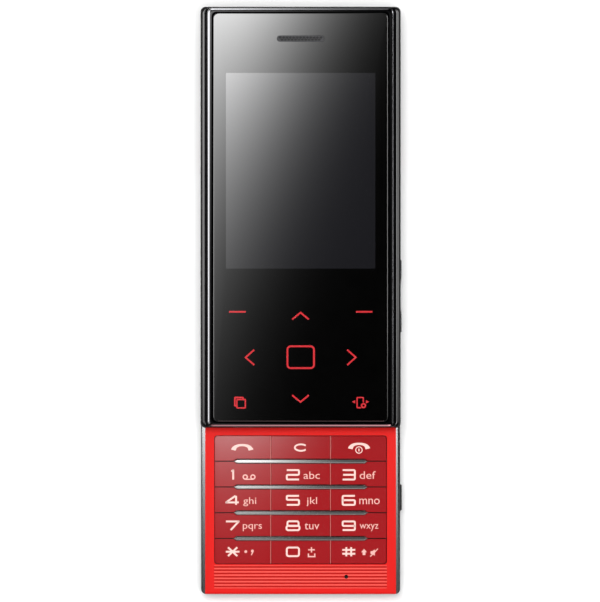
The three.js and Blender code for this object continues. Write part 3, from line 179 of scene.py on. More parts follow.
def ring(plan, inward_x, inward_y, level):
    """A ring for a loft: a plan of half width, half length and corner, drawn in, at its level."""
    half_x, half_y, radius = plan
    return rounded(half_x - inward_x, half_y - inward_y, radius), level


def round_points(radius, x=0, y=0, steps=ROUND_STEPS):
    """A circle's points, anticlockwise."""
    turns = [2 * math.pi * i / steps for i in range(steps)]
    return [(x + radius * math.cos(turn), y + radius * math.sin(turn)) for turn in turns]


def skin(count, levels, closed):
    """Faces between rings of count points, and from the last ring to the first where closed."""
    faces = []
    for level in range(levels if closed else levels - 1):
        low = level * count
        high = (level + 1) % levels * count
        for i in range(count):
            after = (i + 1) % count
            faces.append((low + i, low + after, high + after, high + i))
    return faces


def loft(rings):
    """A closed form over rings of (points, z), from the lowest to the highest."""
    count = len(rings[0][0])
    corners = [(px, py, z) for points, z in rings for px, py in points]
    faces = skin(count, len(rings), False)
    faces.append(tuple(reversed(range(count))))
    faces.append(tuple(range((len(rings) - 1) * count, len(rings) * count)))
    return made(corners, faces)


def hoop(rings):
    """A closed ring over rings of (points, z): up its outside and down its inside."""
    corners = [(px, py, z) for points, z in rings for px, py in points]
    return made(corners, skin(len(rings[0][0]), len(rings), True))


def prism(points, low, high):
    """An outline raised from low to high."""
    return loft([(points, low), (points, high)])


def slab(half_x, half_y, radius, low, high, x=0, y=0):
    """A plate with rounded corners."""
    return prism(rounded(half_x, half_y, radius, x, y), low, high)


def box(left, right, front, back, low, high):
    """A plain block, for cutting or joining."""
    return prism([(left, front), (right, front), (right, back), (left, back)], low, high)


def rod(radius, x, y, low, high, steps=ROUND_STEPS):
    """An upright cylinder, for cutting or joining."""
    return prism(round_points(radius, x, y, steps), low, high)


def round_rings(place, profile):
    """Round rings about one place, from a profile of radii and levels."""
    return [(round_points(radius, *place), level) for radius, level in profile]


def roll(plan, side, end, face_z, edge_z):
    """Rings that round an edge, from the drawn-in ring at face_z to the full one at edge_z."""
    rings = []
    for step in range(ROLL_STEPS + 1):
        angle = step / ROLL_STEPS * QUARTER
        drawn_in = 1 - math.sin(angle)
        level = face_z + (edge_z - face_z) * (1 - math.cos(angle))
        rings.append(ring(plan, side * drawn_in, end * drawn_in, level))
    return rings


def walls(count):
    """Faces between a ring and the next, which run clockwise as seen from the next."""
    return [(i + count, (i + 1) % count + count, (i + 1) % count, i) for i in range(count)]


def run_along(section, front, back):
    """An anticlockwise section of (x, z) points run along Y."""
    count = len(section)
    corners = [(x, front, z) for x, z in section] + [(x, back, z) for x, z in section]
    ends = [tuple(range(count)), tuple(reversed(range(count, 2 * count)))]
    return made(corners, ends + walls(count))


def run_across(section, left, right):
    """An anticlockwise section of (y, z) points run along X."""
    form = run_along(section, -right, -left)
    form.transform(Matrix.Rotation(QUARTER, 4, "Z"))
    return form


def combined(form, others, operation):
    """The form with the others cut from it, joined to it or kept in common with it."""
    base = added("base", form)
    helpers = [base]
    for other in others:
        helper = added("helper", other)
        helpers.append(helper)
        modifier = base.modifiers.new("combine", "BOOLEAN")
        modifier.solver = "MANIFOLD"
        modifier.operation = operation
        modifier.object = helper
    graph = bpy.context.evaluated_depsgraph_get()
    result = bpy.data.meshes.new_from_object(base.evaluated_get(graph))
    for helper in helpers:
        bpy.data.objects.remove(helper)
    return result


def cut(form, others):
    return combined(form, others, "DIFFERENCE")


def joined(form, others):
    return combined(form, others, "UNION")


def common(form, other):
    return combined(form, [other], "INTERSECT")


def slid_open(form):
    """A form of the display half, shifted from the middle to its place at rest."""
    form.transform(Matrix.Translation((0, SLIDE_TRAVEL, 0)))
    return form


def flipped(form):
    """The form mirrored left to right."""
    form.transform(Matrix.Scale(-1, 4, (1, 0, 0)))
    form.flip_normals()
    return form


LARGE_FACE_WEIGHT = 90


def piece(name, form, body, finish, stands_for=(), edge=0, steps=2, smooth=40):
    """A form becomes a piece: scaled to metres, its edges rounded, riding on its body."""
    obj = added(name, form)
    form.transform(Matrix.Scale(MM, 4))
    form.materials.clear()
    form.materials.append(finish)
    form.polygons.foreach_set("use_smooth", [True] * len(form.polygons))
    if edge:
        bevel = obj.modifiers.new("round_edges", "BEVEL")
        bevel.width = edge * MM
        bevel.segments = steps
        bevel.limit_method = "ANGLE"
        bevel.angle_limit = math.radians(smooth)
        bevel.harden_normals = True
        bevel.use_clamp_overlap = True
    else:
        form.set_sharp_from_angle(angle=math.radians(smooth))
        even = obj.modifiers.new("even_faces", "WEIGHTED_NORMAL")
        even.weight = LARGE_FACE_WEIGHT
        even.keep_sharp = True
    if stands_for:
        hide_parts(*stands_for)
    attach(obj, body)
    return obj


# Materials

def tint(red, green, blue):
    """A colour written from 0 to 255, made linear."""
    shares = [value / 255 for value in (red, green, blue)]
    linear = [s / 12.92 if s <= 0.04045 else ((s + 0.055) / 1.055) ** 2.4 for s in shares]
    return (*linear, 1)


def set_inputs(node, values):
    """A node's inputs, set by their names."""
    for name, value in values.items():
        node.inputs[name].default_value = value


def ranged(tree, source, from_low, from_high, to_low, to_high):
    """A source's value from one range laid onto another, and held within it."""
    node = tree.nodes.new("ShaderNodeMapRange")
    set_inputs(node, {"From Min": from_low, "From Max": from_high, "To Min": to_low, "To Max": to_high})
    tree.links.new(source, node.inputs["Value"])
    return node.outputs["Result"]


def maths(tree, operation, *values):
    """The result of an operation on numbers and other nodes' outputs."""
    node = tree.nodes.new("ShaderNodeMath")
    node.operation = operation
    for socket, value in zip(node.inputs, values):
        if isinstance(value, (int, float)):
            socket.default_value = value
        else:
            tree.links.new(value, socket)
    return node.outputs["Value"]


GRAIN_DETAIL = 5
GRAIN_SPREAD = 0.15


def grain(tree, scale, stretch):
    """Noise in the object's own space, stretched along its axes, with its value from 0 to 1."""
    place = tree.nodes.new("ShaderNodeTexCoord")
    mapping = tree.nodes.new("ShaderNodeMapping")
    noise = tree.nodes.new("ShaderNodeTexNoise")
    set_inputs(mapping, {"Scale": stretch})
    set_inputs(noise, {"Scale": scale, "Detail": GRAIN_DETAIL})
    tree.links.new(place.outputs["Object"], mapping.inputs["Vector"])
    tree.links.new(mapping.outputs["Vector"], noise.inputs["Vector"])
    return noise.outputs["Fac"]


def surface(name, colour, other, roughness, scale=900, stretch=(1, 1, 1), metallic=0, relief=0,
            depth=0.00002, coat=0, coat_roughness=0.03, level=0.5):
    """Two near colours mixed by grain, which also varies the roughness and raises the surface."""
    material = bpy.data.materials.new(name)
    material.use_nodes = True
    tree = material.node_tree
    shader = tree.nodes["Principled BSDF"]
    fine = grain(tree, scale, stretch)
    mix = tree.nodes.new("ShaderNodeMix")
    mix.data_type = "RGBA"
    set_inputs(mix, {"A": tint(*colour), "B": tint(*other)})
    tree.links.new(fine, mix.inputs["Factor"])
    tree.links.new(mix.outputs["Result"], shader.inputs["Base Color"])
    varied = ranged(tree, fine, 0, 1, roughness * (1 - GRAIN_SPREAD), roughness * (1 + GRAIN_SPREAD))
    tree.links.new(varied, shader.inputs["Roughness"])
    if relief:
        bump = tree.nodes.new("ShaderNodeBump")
        set_inputs(bump, {"Strength": relief, "Distance": depth})
        tree.links.new(fine, bump.inputs["Height"])
        tree.links.new(bump.outputs["Normal"], shader.inputs["Normal"])
    set_inputs(shader, {"Metallic": metallic, "Specular IOR Level": level})
    set_inputs(shader, {"Coat Weight": coat, "Coat Roughness": coat_roughness})
    return material


CASE = surface("case_gloss", (4, 4, 5), (8, 8, 9), 0.06)
BEZEL = surface("bezel_gloss", (96, 96, 98), (92, 92, 94), 0.06, metallic=1, coat=0.3)
BEZEL_FACE = surface("bezel_face", (3, 3, 4), (5, 5, 6), 0.06, level=0.2)
GLASS = surface("glass_black", (2, 2, 2), (5, 5, 5), 0.035, scale=300, coat=1, coat_roughness=0.02)
SCREEN = surface("screen_glass", (22, 22, 25), (26, 26, 29), 0.035, scale=6000, coat=1, coat_roughness=0.02,
                 level=1)
MARKS = surface("mark_red", (190, 44, 50), (198, 48, 54), 0.08, scale=4000, coat=1)
RED = surface("shell_red", (210, 22, 18), (204, 20, 16), 0.42, scale=1500, relief=0.05, level=0.1)
# Copies of the cover red for the chin's ribs: darker as painted shade in the troughs, lighter as painted
# highlight on the crests
RIB_PAINTED_SHADE = surface("rib_trough_painted_shade", (178, 20, 16), (172, 18, 15), 0.42, scale=1500, level=0.1)
RIB_PAINTED_HIGHLIGHT = surface("rib_crest_painted_highlight", (236, 88, 80), (230, 82, 74), 0.42, scale=1500, level=0.1)
RED_EDGE = surface("shell_edge_red", (222, 32, 29), (214, 28, 26), 0.2, scale=1500, coat=1,
                   coat_roughness=0.1)
KEYS = surface("key_red", (149, 13, 20), (143, 11, 18), 0.3, scale=1500, relief=0.03, level=0.05, coat=1,
               coat_roughness=0.04)
LEGEND = surface("legend_cream", (236, 196, 188), (230, 189, 180), 0.4, scale=5000)
LEGEND_FINE = surface("legend_fine", (228, 170, 162), (222, 163, 154), 0.4, scale=5000)
RAIL = surface("rail_metal", (150, 150, 151), (138, 138, 139), 0.16, scale=3000, stretch=(1, 0.01, 1),
               metallic=1, relief=0.04)
BARS = surface("bar_metal", (206, 205, 204), (190, 189, 188), 0.12, scale=3000, stretch=(0.01, 1, 1),
               metallic=1, relief=0.02)
MESH = surface("mesh_metal", (74, 74, 76), (60, 60, 62), 0.4, scale=4000, relief=0.1, level=0.1)
HOUSING = surface("housing_satin", (20, 20, 21), (27, 27, 28), 0.42, scale=5200, relief=0.35,
                  depth=0.00003)
LENS = surface("lens_glass", (10, 11, 14), (14, 15, 19), 0.03, scale=300, coat=1)
CLEAR = surface("flash_lens", (214, 219, 222), (226, 230, 232), 0.12, scale=1200, relief=0.3)
PANEL = surface("panel_dark", (16, 17, 20), (22, 23, 27), 0.12, scale=6000)
STEEL = surface("plain_steel", (170, 171, 174), (150, 151, 155), 0.3, scale=2600, stretch=(1, 0.02, 1),
                metallic=1, relief=0.12)
DARK = surface("dark_steel", (92, 94, 98), (76, 78, 82), 0.36, scale=2600, stretch=(0.02, 1, 1),
               metallic=1, relief=0.12)
GOLD = surface("contact_gold", (214, 170, 86), (200, 156, 74), 0.28, scale=2500, metallic=1)
BOARD = surface("board_green", (26, 74, 50), (20, 62, 42), 0.5, scale=1800, relief=0.2)
FILM = surface("film_tan", (190, 168, 128), (178, 156, 116), 0.45, scale=1500)
# The dome sheet's dark red-brown is painted shade: it shows as the dark gaps between the keys
DOME_FILM_SHADE = surface("dome_film_painted_shade", (58, 14, 14), (48, 10, 11), 0.45, scale=1500)
FLEX = surface("flex_amber", (176, 112, 44), (160, 98, 36), 0.35, scale=1800, stretch=(1, 0.05, 1))
GLIDE = surface("glide_white", (222, 220, 212), (212, 210, 202), 0.5, scale=1800, relief=0.1)
WRAP = surface("battery_wrap", (58, 61, 66), (50, 53, 58), 0.4, scale=1400, relief=0.1)
GREY = surface("speaker_grey", (86, 88, 92), (72, 74, 78), 0.5, scale=2400, relief=0.2)
# Near black as painted shade: the plate under the earpiece mesh and the microphone behind its hole
PAINTED_SHADE_BLACK = surface("painted_shade_black", (3, 3, 3), (6, 6, 6), 0.7, scale=3000)
# Pale pink for the lines between the key columns: a painted highlight on the edges of their grooves
COLUMN_PAINTED_HIGHLIGHT = surface("column_painted_highlight", (206, 104, 96), (196, 92, 86), 0.3, scale=2000, coat=0.5)
FLOOR = surface("floor_pale", (252, 252, 252), (250, 250, 250), 0.8, scale=4, level=0)

FINISH_NODES = (
    (RED, "lower_front_cover"), (HOUSING, "lower_rear_housing battery_cover"), (WRAP, "battery"),
    (RAIL, "side_rail_left side_rail_right camera_key volume_rocker port_cover"),
    (STEEL, "sim_holder shield_can vibration_motor usb_connector slide_spring slide_plate"),
    (DARK, "camera_module guide_plate housing_screw_1 housing_screw_2"),
    (DARK, "slide_screw_1 slide_screw_2 slide_screw_3 slide_screw_4"),
    (BOARD, "main_board display_board"), (GREY, "loudspeaker receiver"), (GLIDE, "glide_left glide_right"),
    # The dome sheet is painted dark as the shade in the gaps between the keys
    # The microphone is painted near black as the shade in its hole
    (GOLD, "battery_contacts"), (DOME_FILM_SHADE, "dome_sheet"), (PAINTED_SHADE_BLACK, "microphone"),
    (LENS, "camera_window"), (CLEAR, "flash_window"), (FLEX, "flex_cable"), (CASE, "upper_rear_case"),
    (BEZEL, "front_bezel"), (GLASS, "front_glass"), (MESH, "earpiece_grille"), (PANEL, "display_panel"),
    (FILM, "touch_sensor"),
)
node_finishes = {name: finish for finish, names in FINISH_NODES for name in names.split()}
for node_name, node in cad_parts.items():
    finish = node_finishes.get(node_name, BARS if node_name.startswith("row_bar") else KEYS)
    node.data.materials.clear()
    node.data.materials.append(finish)


# Display half: the case, with a roll at its back and a rounded crest along each side

CASE_PLAN = (HALF_WIDTH, HALF_LENGTH, CORNER)
CASE_SIDE_ROLL = 1.0
CASE_END_ROLL = 0.8
CASE_ROLL = 0.9
CREST_IN = 0.78
CREST_ROUND = 0.68
CREST_STEPS = 6
CREST_STEP_DEGREES = 7.5
CREST_END_SHARE = 0.5
CREST_FALL_SHARE = 0.1
MOUTH_IN = 1.7
MOUTH_END_IN = 0.5
MOUTH_DEPTH = 0.6
HOLLOW_X = 22.4
HOLLOW_Y = 51.5
SLIDE_SCREW_X = 10.5
SLIDE_SCREW_FROM_END = 4
SLIDE_SCREW_HOLE = 0.7
SLIDE_SCREW_BITE = 1.05
BEZEL_LONGER = 0.2
BEZEL_END = BEZEL_Y + BEZEL_LONGER
BEZEL_PLAN = (BEZEL_X, BEZEL_END, GLASS_CORNER)

case_rings = roll(CASE_PLAN, CASE_SIDE_ROLL, CASE_END_ROLL, Z_UPPER, Z_UPPER + CASE_ROLL)
for step in range(ROLL_STEPS + 1):
    turn = step / ROLL_STEPS * QUARTER
    share = CREST_IN * (1 - math.cos(turn))
    level = Z_CASE_TOP - CASE_ROLL * (1 - math.sin(turn))
    case_rings.append(ring(CASE_PLAN, share, share * CREST_END_SHARE, level))
for step in range(1, CREST_STEPS + 1):
    turn = math.radians(step * CREST_STEP_DEGREES)
    share = CREST_IN + CREST_ROUND * math.sin(turn)
    level = Z_CASE_TOP - CREST_ROUND * (1 - math.cos(turn))
    end = CREST_IN * CREST_END_SHARE + (share - CREST_IN) * CREST_FALL_SHARE
    case_rings.append(ring(CASE_PLAN, share, end, level))
case_rings.append(ring(CASE_PLAN, MOUTH_IN, MOUTH_END_IN, Z_CASE_TOP - MOUTH_DEPTH))
channel_ends = (PLATE_LOW - FIT, PLATE_HIGH + FIT, Z_UPPER - OVERRUN)
case_cutters = [
    slab(BEZEL_X + FIT, BEZEL_END + FIT, GLASS_CORNER, Z_BEZEL, Z_CASE_TOP + OVERRUN),
    slab(HOLLOW_X, HOLLOW_Y, CORNER, Z_CASE_FLOOR, Z_BEZEL + OVERRUN),
    box(-CHANNEL_OUTER_X, CHANNEL_OUTER_X, *channel_ends, Z_PLATE_TOP),
    box(CHANNEL_INNER_X, CHANNEL_OUTER_X, *channel_ends, Z_CHANNEL),
    box(-CHANNEL_OUTER_X, -CHANNEL_INNER_X, *channel_ends, Z_CHANNEL),
]
screw_levels = (Z_UPPER, Z_PLATE_TOP + SLIDE_SCREW_BITE)
for side in (-1, 1):
    for y in (PLATE_LOW + SLIDE_SCREW_FROM_END, PLATE_HIGH - SLIDE_SCREW_FROM_END):
        case_cutters.append(rod(SLIDE_SCREW_HOLE, side * SLIDE_SCREW_X, y, *screw_levels))
case_form = slid_open(cut(loft(case_rings), case_cutters))
piece("case_shell", case_form, DISPLAY, CASE, ["upper_rear_case"], edge=0.08)

# The bezel is rounded outside, leans outward over its shoulder and falls inward to the groove
SEAT_PLAN = (SEAT_X, SEAT_Y, GLASS_CORNER)
BEZEL_ROUND = 0.1
BEZEL_ROUND_DEGREES = (90, 70, 50, 30, 10)
SHOULDER_ROUND = 4.0
SHOULDER_TILTS = [math.radians(degrees) for degrees in (8, 6.5, 5, 3.5, 2)]
FACE_RINGS = ((0.7, 0.7, 0.003), (0.95, 0.9, 0.012))
GROOVE_DEPTH = 0.3
GROOVE_IN = 0.12
LIP_IN = 0.9
LIP_DOWN = 0.01
END_DEPTH = 0.55
END_FALL = 0.2
FALL_DEPTH = 0.3

steepest, flattest = SHOULDER_TILTS[0], SHOULDER_TILTS[-1]
shoulder_low = Z_BEZEL_TOP - SHOULDER_ROUND * (math.cos(flattest) - math.cos(steepest))
shoulder_in = BEZEL_ROUND * (1 - math.sin(steepest))
bezel_rings = [ring(BEZEL_PLAN, 0, 0, Z_BEZEL)]
for tilt in map(math.radians, BEZEL_ROUND_DEGREES):
    inward = BEZEL_ROUND * (1 - math.sin(tilt))
    level = shoulder_low - BEZEL_ROUND * (math.cos(steepest) - math.cos(tilt))
    bezel_rings.append(ring(BEZEL_PLAN, inward, inward, level))
for tilt in SHOULDER_TILTS:
    inward = shoulder_in + SHOULDER_ROUND * (math.sin(steepest) - math.sin(tilt))
    level = shoulder_low + SHOULDER_ROUND * (math.cos(tilt) - math.cos(steepest))
    bezel_rings.append(ring(BEZEL_PLAN, inward, inward, level))
for inward_x, inward_y, fall in FACE_RINGS:
    bezel_rings.append(ring(BEZEL_PLAN, inward_x, inward_y, Z_BEZEL_TOP - fall))
bezel_rings.append(ring(SEAT_PLAN, 0, 0, Z_GLASS - GROOVE_DEPTH))
for inward, level in ((GROOVE_IN, Z_GLASS - LIP_DOWN), (LIP_IN, Z_GLASS - LIP_DOWN), (LIP_IN, Z_BEZEL)):
    bezel_rings.append(ring(SEAT_PLAN, inward, inward, level))
bezel_form = hoop(bezel_rings)
for vertex in bezel_form.vertices:
    if vertex.co.z > Z_BEZEL_TOP - FALL_DEPTH:
        vertex.co.z -= END_FALL * max(0, abs(vertex.co.y) - BEZEL_END + END_DEPTH)
piece("bezel_ring", slid_open(bezel_form), DISPLAY, BEZEL, ["front_bezel"], smooth=50)
bezel_form.materials.append(BEZEL_FACE)
for face in bezel_form.polygons:
    middle = face.center / MM
    inward_x, inward_y = BEZEL_X - abs(middle.x), BEZEL_END - abs(middle.y - SLIDE_TRAVEL)
    face.material_index = 1 if min(inward_x, inward_y) > END_DEPTH else 0

# The glass, with the earpiece's slot. The screen's window is a face of its own
SCREEN_X = 18.95
SCREEN_HALF = 24.82
SCREEN_Y = 11.805
SCREEN_CORNER = 0.15
GLASS_EDGE = 0.2
GLASS_EDGE_STEPS = 4
SLOT_X = 6.025
SLOT_Y = 0.775
SLOT_CORNER = 0.74
LEVEL_NORMAL = 0.9
SCREEN_MARGIN = 0.01

glass_rings = [ring(SEAT_PLAN, FIT, FIT, Z_GLASS)]
for step in range(GLASS_EDGE_STEPS + 1):
    turn = step / GLASS_EDGE_STEPS * QUARTER
    inward = FIT + GLASS_EDGE * (1 - math.cos(turn))
    glass_rings.append(ring(SEAT_PLAN, inward, inward, Z_GLASS_TOP - GLASS_EDGE * (1 - math.sin(turn))))
glass_rings.append((rounded(SCREEN_X, SCREEN_HALF, SCREEN_CORNER, 0, SCREEN_Y), Z_GLASS_TOP))
slot = slab(SLOT_X, SLOT_Y, SLOT_CORNER, Z_GLASS - OVERRUN, Z_GLASS_TOP + OVERRUN, 0, EARPIECE_Y)
glass_form = slid_open(cut(loft(glass_rings), [slot]))
piece("glass_pane", glass_form, DISPLAY, GLASS, ["front_glass"], smooth=60)
glass_form.materials.append(SCREEN)
for face in glass_form.polygons:
    middle = face.center / MM
    inside = abs(middle.x) < SCREEN_X and abs(middle.y - SCREEN_Y - SLIDE_TRAVEL) < SCREEN_HALF
    widest = max(abs(glass_form.vertices[i].co.x) for i in face.vertices) / MM
    if inside and face.normal.z > LEVEL_NORMAL and widest < SCREEN_X + SCREEN_MARGIN:
        face.material_index = 1

# Earpiece: a fine mesh of diamond holes over a near-black plate of painted shade
MESH_TOP = Z_GLASS_TOP - 0.25
MESH_THICK = 0.25
MESH_CORNER = 0.66
SHADE_PLATE_LEVELS = (MESH_TOP - 0.68, MESH_TOP - 0.4)
DIAMOND_ROWS = ((0.27, 13), (-0.27, 12))
DIAMOND_PITCH = 0.86
DIAMOND_X = 0.4
DIAMOND_Y = 0.36


def earpiece_plate(low, high):
    """A plate that fits the glass's slot."""
    return slab(SLOT_X - FIT, SLOT_Y - FIT, MESH_CORNER, low, high, 0, EARPIECE_Y)


diamonds = []
for row_y, count in DIAMOND_ROWS:
    for i in range(count):
        x = (i - (count - 1) / 2) * DIAMOND_PITCH
        y = EARPIECE_Y + row_y
        points = [(x + DIAMOND_X, y), (x, y + DIAMOND_Y), (x - DIAMOND_X, y), (x, y - DIAMOND_Y)]
        diamonds.append(prism(points, MESH_TOP - 2 * OVERRUN, MESH_TOP + OVERRUN))
mesh_form = slid_open(cut(earpiece_plate(MESH_TOP - MESH_THICK, MESH_TOP), diamonds))
piece("earpiece_mesh", mesh_form, DISPLAY, MESH, ["earpiece_grille"])
# A near-black plate under the mesh stands for the shade in the earpiece's hollow: painted shade
shade_plate_form = slid_open(earpiece_plate(*SHADE_PLATE_LEVELS))
piece("earpiece_shade_plate", shade_plate_form, DISPLAY, PAINTED_SHADE_BLACK, edge=0.03)


# Strokes and rings for marks and legends, between two levels

LEAST_MITRE = 0.35
LEAST_CORNER = 0.02


def band(points, width, levels):
    """A mark's stroke of even width along its points, with its corners mitred and ends square."""
    left, right = [], []
    for i, point in enumerate(points):
        here = Vector(point)
        before = (here - Vector(points[i - 1])).normalized() if i else None
        after = (Vector(points[i + 1]) - here).normalized() if i + 1 < len(points) else None
        along = (before + after).normalized() if before and after else (before or after)
        aside = Vector((-along.y, along.x))
        reach = width / 2
        if before and after:
            reach /= max(LEAST_MITRE, aside.dot(Vector((-before.y, before.x))))
        left.append(tuple(here + aside * reach))
        right.append(tuple(here - aside * reach))
    corners = [(x, y, z) for z in levels for x, y in left + list(reversed(right))]
    half = len(left)
    count = 2 * half
    faces = []
    for i in range(half - 1):
        mirror = count - 1 - i
        faces.append((i, i + 1, mirror - 1, mirror))
        faces.append((count + mirror, count + mirror - 1, count + i + 1, count + i))
    return made(corners, faces + walls(count))


def line_ring(outer, inner, levels):
    """A closed line between two outlines."""
    low, high = levels
    return hoop([(outer, low), (outer, high), (inner, high), (inner, low)])


def frame_ring(half_x, half_y, radius, width, levels, place):
    """A rounded rectangle drawn as a line of even width."""
    outer = rounded(half_x, half_y, radius, *place)
    inner = rounded(half_x - width, half_y - width, max(radius - width, LEAST_CORNER), *place)
    return line_ring(outer, inner, levels)


def round_ring(radius, width, levels, place):
    """A circle drawn as a line of even width."""
    return line_ring(round_points(radius, *place), round_points(radius - width, *place), levels)


def on_photo(x, y):
    """The place in millimetres of a pixel of the photo."""
    return (x - PHOTO_MIDDLE) / PIXELS_PER_MM, TOP_END - (y - PHOTO_TOP) / PIXELS_PER_MM


# The touch keys' marks, printed just under the face of the glass, with their places in the photo's pixels
MARK_LEVELS = (Z_GLASS_TOP - 0.01, Z_GLASS_TOP + 0.015)
MARK_LINE = 0.42
MARK_STROKES = {
    "soft_dash_left": [(229, 311.8), (245.8, 311.8)],
    "soft_dash_right": [(356, 311.8), (372.4, 311.8)],
    "chevron_up": [(292.2, 319.4), (300.5, 312.6), (308.8, 319.4)],
    "chevron_down": [(292.2, 395.2), (300.5, 402.0), (308.8, 395.2)],
    "chevron_left": [(254.2, 349.8), (245.6, 357.4), (254.2, 365.0)],
    "chevron_right": [(347.2, 349.8), (355.8, 357.4), (347.2, 365.0)],
}
CENTRE_AT = (300.7, 357.2)
CENTRE_SIZES = (3.6, 3.0, 1.1, 0.46)
BACK_SHEET_AT = (238.9, 401.6)
FRONT_SHEET_AT = (241.1, 403.7)
SHEET_HALF = 1.24
SHEET_CORNER = 0.3
SHEET_LINE = 0.34
DEVICE_AT = (360.2, 402.6)
DEVICE_SIZES = (0.95, 1.45, 0.3, 0.32)
DEVICE_RING_AT = (363.5, 405.6)
DEVICE_RING_SIZES = (0.68, 0.4)
DEVICE_HOLE = 0.82
ARROW_HALF = 0.42
ARROW_ROW = 401.8
ARROWS = (("left", 353.6, -ARROW_HALF), ("right", 367.6, ARROW_HALF))


def printed(name, form):
    """A touch key's mark."""
    piece(name, form, DISPLAY, MARKS)


through = (MARK_LEVELS[0] - OVERRUN, MARK_LEVELS[1] + OVERRUN)
for name, pixels in MARK_STROKES.items():
    printed(name, band([on_photo(*pixel) for pixel in pixels], MARK_LINE, MARK_LEVELS))
printed("centre_mark", frame_ring(*CENTRE_SIZES, MARK_LEVELS, on_photo(*CENTRE_AT)))
sheet_sizes = (SHEET_HALF, SHEET_HALF, SHEET_CORNER)
back_sheet = frame_ring(*sheet_sizes, MARK_LINE, MARK_LEVELS, on_photo(*BACK_SHEET_AT))
printed("sheets_mark_back", cut(back_sheet, [slab(*sheet_sizes, *through, *on_photo(*FRONT_SHEET_AT))]))
printed("sheets_mark_front", frame_ring(*sheet_sizes, SHEET_LINE, MARK_LEVELS, on_photo(*FRONT_SHEET_AT)))
device_form = frame_ring(*DEVICE_SIZES, MARK_LEVELS, on_photo(*DEVICE_AT))
printed("device_mark", cut(device_form, [rod(DEVICE_HOLE, *on_photo(*DEVICE_RING_AT), *through)]))
printed("device_ring", round_ring(*DEVICE_RING_SIZES, MARK_LEVELS, on_photo(*DEVICE_RING_AT)))
for side, pixel, tip in ARROWS:
    x, y = on_photo(pixel, ARROW_ROW)
    points = [(x + tip, y), (x - tip, y + ARROW_HALF), (x - tip, y - ARROW_HALF)]
    printed(f"device_arrow_{side}", prism(points if tip > 0 else points[::-1], *MARK_LEVELS))


# Keypad half: places and clearances that its pieces share

USB_Y = 33.45
USB_HALF = 3.85
USB_LEVELS = (1.85, 4.45)
USB_DEPTH = 1.8
PORT_HALF = 4.7
PORT_GAP = 0.12
PORT_LEVELS = (1.93, 4.87)
CAMERA_AT = (-9.02, 43.95)
FLASH_AT = (-0.82, 43.95)
SPEAKER_AT = (11.95, 42.45)
SCREW_AT = (17.5, -49.3)
MIC_AT = (11.6, -49.02)
SIDE_KEY_HALVES = {"camera_key": 3.5, "volume_rocker": 9.4}
FLANGE_OVER = 0.6
KEY_GAP = 0.15
KEY_SLOT_LEVELS = (3.05, 5.35)
KEYPAD_PLAN = (RAIL_X, HALF_LENGTH, CORNER)

side_keys = {}
for name, half in SIDE_KEY_HALVES.items():
    low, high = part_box(name)
    side_keys[name] = ((low.y + high.y) / 2 / MM, half)
usb_ends = (USB_Y - USB_HALF, USB_Y + USB_HALF, *USB_LEVELS)
pad_middle = (PAD_HIGH + PAD_LOW) / 2
pad_half = (PAD_HIGH - PAD_LOW) / 2


def side_slots(inner, outer, over):
    """The openings for the side keys, over the ends of their pads."""
    slots = []
    for y, half in side_keys.values():
        reach = half + over + KEY_GAP
        slots.append(box(inner, outer, y - reach, y + reach, *KEY_SLOT_LEVELS))
    return slots


# Front cover, with the keypad's window, the guide's pan and the ribbed chin

COVER_ROLL = 0.6
PAN_WALL = 0.8
PAN_INTO = 0.4
MIC_HOLE = 0.5
RIB_PITCH = 0.83
RIBS = 7
RIB_FACETS = 12
RIB_RISE = 0.13
RIBS_FROM_END = 1.5
Z_RIB = Z_FRONT - 0.01
NEAR = 0.1
LEVEL_FACE = 0.995

cover_rings = [ring(KEYPAD_PLAN, 0, 0, Z_RAIL)]
cover_rings += reversed(roll(KEYPAD_PLAN, 0, COVER_ROLL, Z_FRONT, Z_FRONT - COVER_ROLL))
between_rails = box(-COVER_X, COVER_X, -BEYOND_Y, BEYOND_Y, Z_RAIL - OVERRUN, Z_FRONT + OVERRUN)
cover_form = common(loft(cover_rings), between_rails)
pan_x = GUIDE_X + FIT
pan_low = GUIDE_LOW - FIT
pan_high = GUIDE_HIGH + FIT
pan_ends = (pan_low - PAN_WALL, pan_high + PAN_WALL)
pan = box(-pan_x - PAN_WALL, pan_x + PAN_WALL, *pan_ends, Z_SKIN - PAN_WALL, Z_SKIN + PAN_INTO)
cover_form = cut(cover_form, [box(-INNER_X, INNER_X, -INNER_Y, INNER_Y, Z_RAIL - OVERRUN, Z_SKIN)])
cover_form = joined(cover_form, [pan])
skin_levels = (Z_SKIN - OVERRUN, Z_FRONT + OVERRUN)
cover_cutters = [
    box(-pan_x, pan_x, pan_low, pan_high, Z_SKIN, Z_FRONT + OVERRUN),
    slab(PAD_X, pad_half, PAD_CORNER, *skin_levels, 0, pad_middle),
    rod(MIC_HOLE, *MIC_AT, *skin_levels),
    box(-COVER_X - OVERRUN, -INNER_X + OVERRUN, *usb_ends),
    *side_slots(INNER_X - OVERRUN, COVER_X + OVERRUN, FLANGE_OVER),
]
ribs_low = RIBS_FROM_END - HALF_LENGTH
ribs_high = ribs_low + RIBS * RIB_PITCH
rib_section = []
for step in range(RIBS * RIB_FACETS + 1):
    turn = 2 * math.pi * step / RIB_FACETS
    y = ribs_low + step * RIB_PITCH / RIB_FACETS
    rib_section.append((y, Z_RIB - RIB_RISE * (1 - math.cos(turn))))
rib_section += [(ribs_high, Z_FRONT + OVERRUN), (ribs_low, Z_FRONT + OVERRUN)]
cover_cutters.append(run_across(rib_section, -PAD_X, PAD_X))
cover_form = cut(cover_form, cover_cutters)
cover = piece("cover_shell", cover_form, KEYPAD, RED, ["lower_front_cover"], edge=0.07)
for finish in (RED_EDGE, RIB_PAINTED_HIGHLIGHT, RIB_PAINTED_SHADE):
    cover_form.materials.append(finish)
cover.modifiers["round_edges"].material = 1
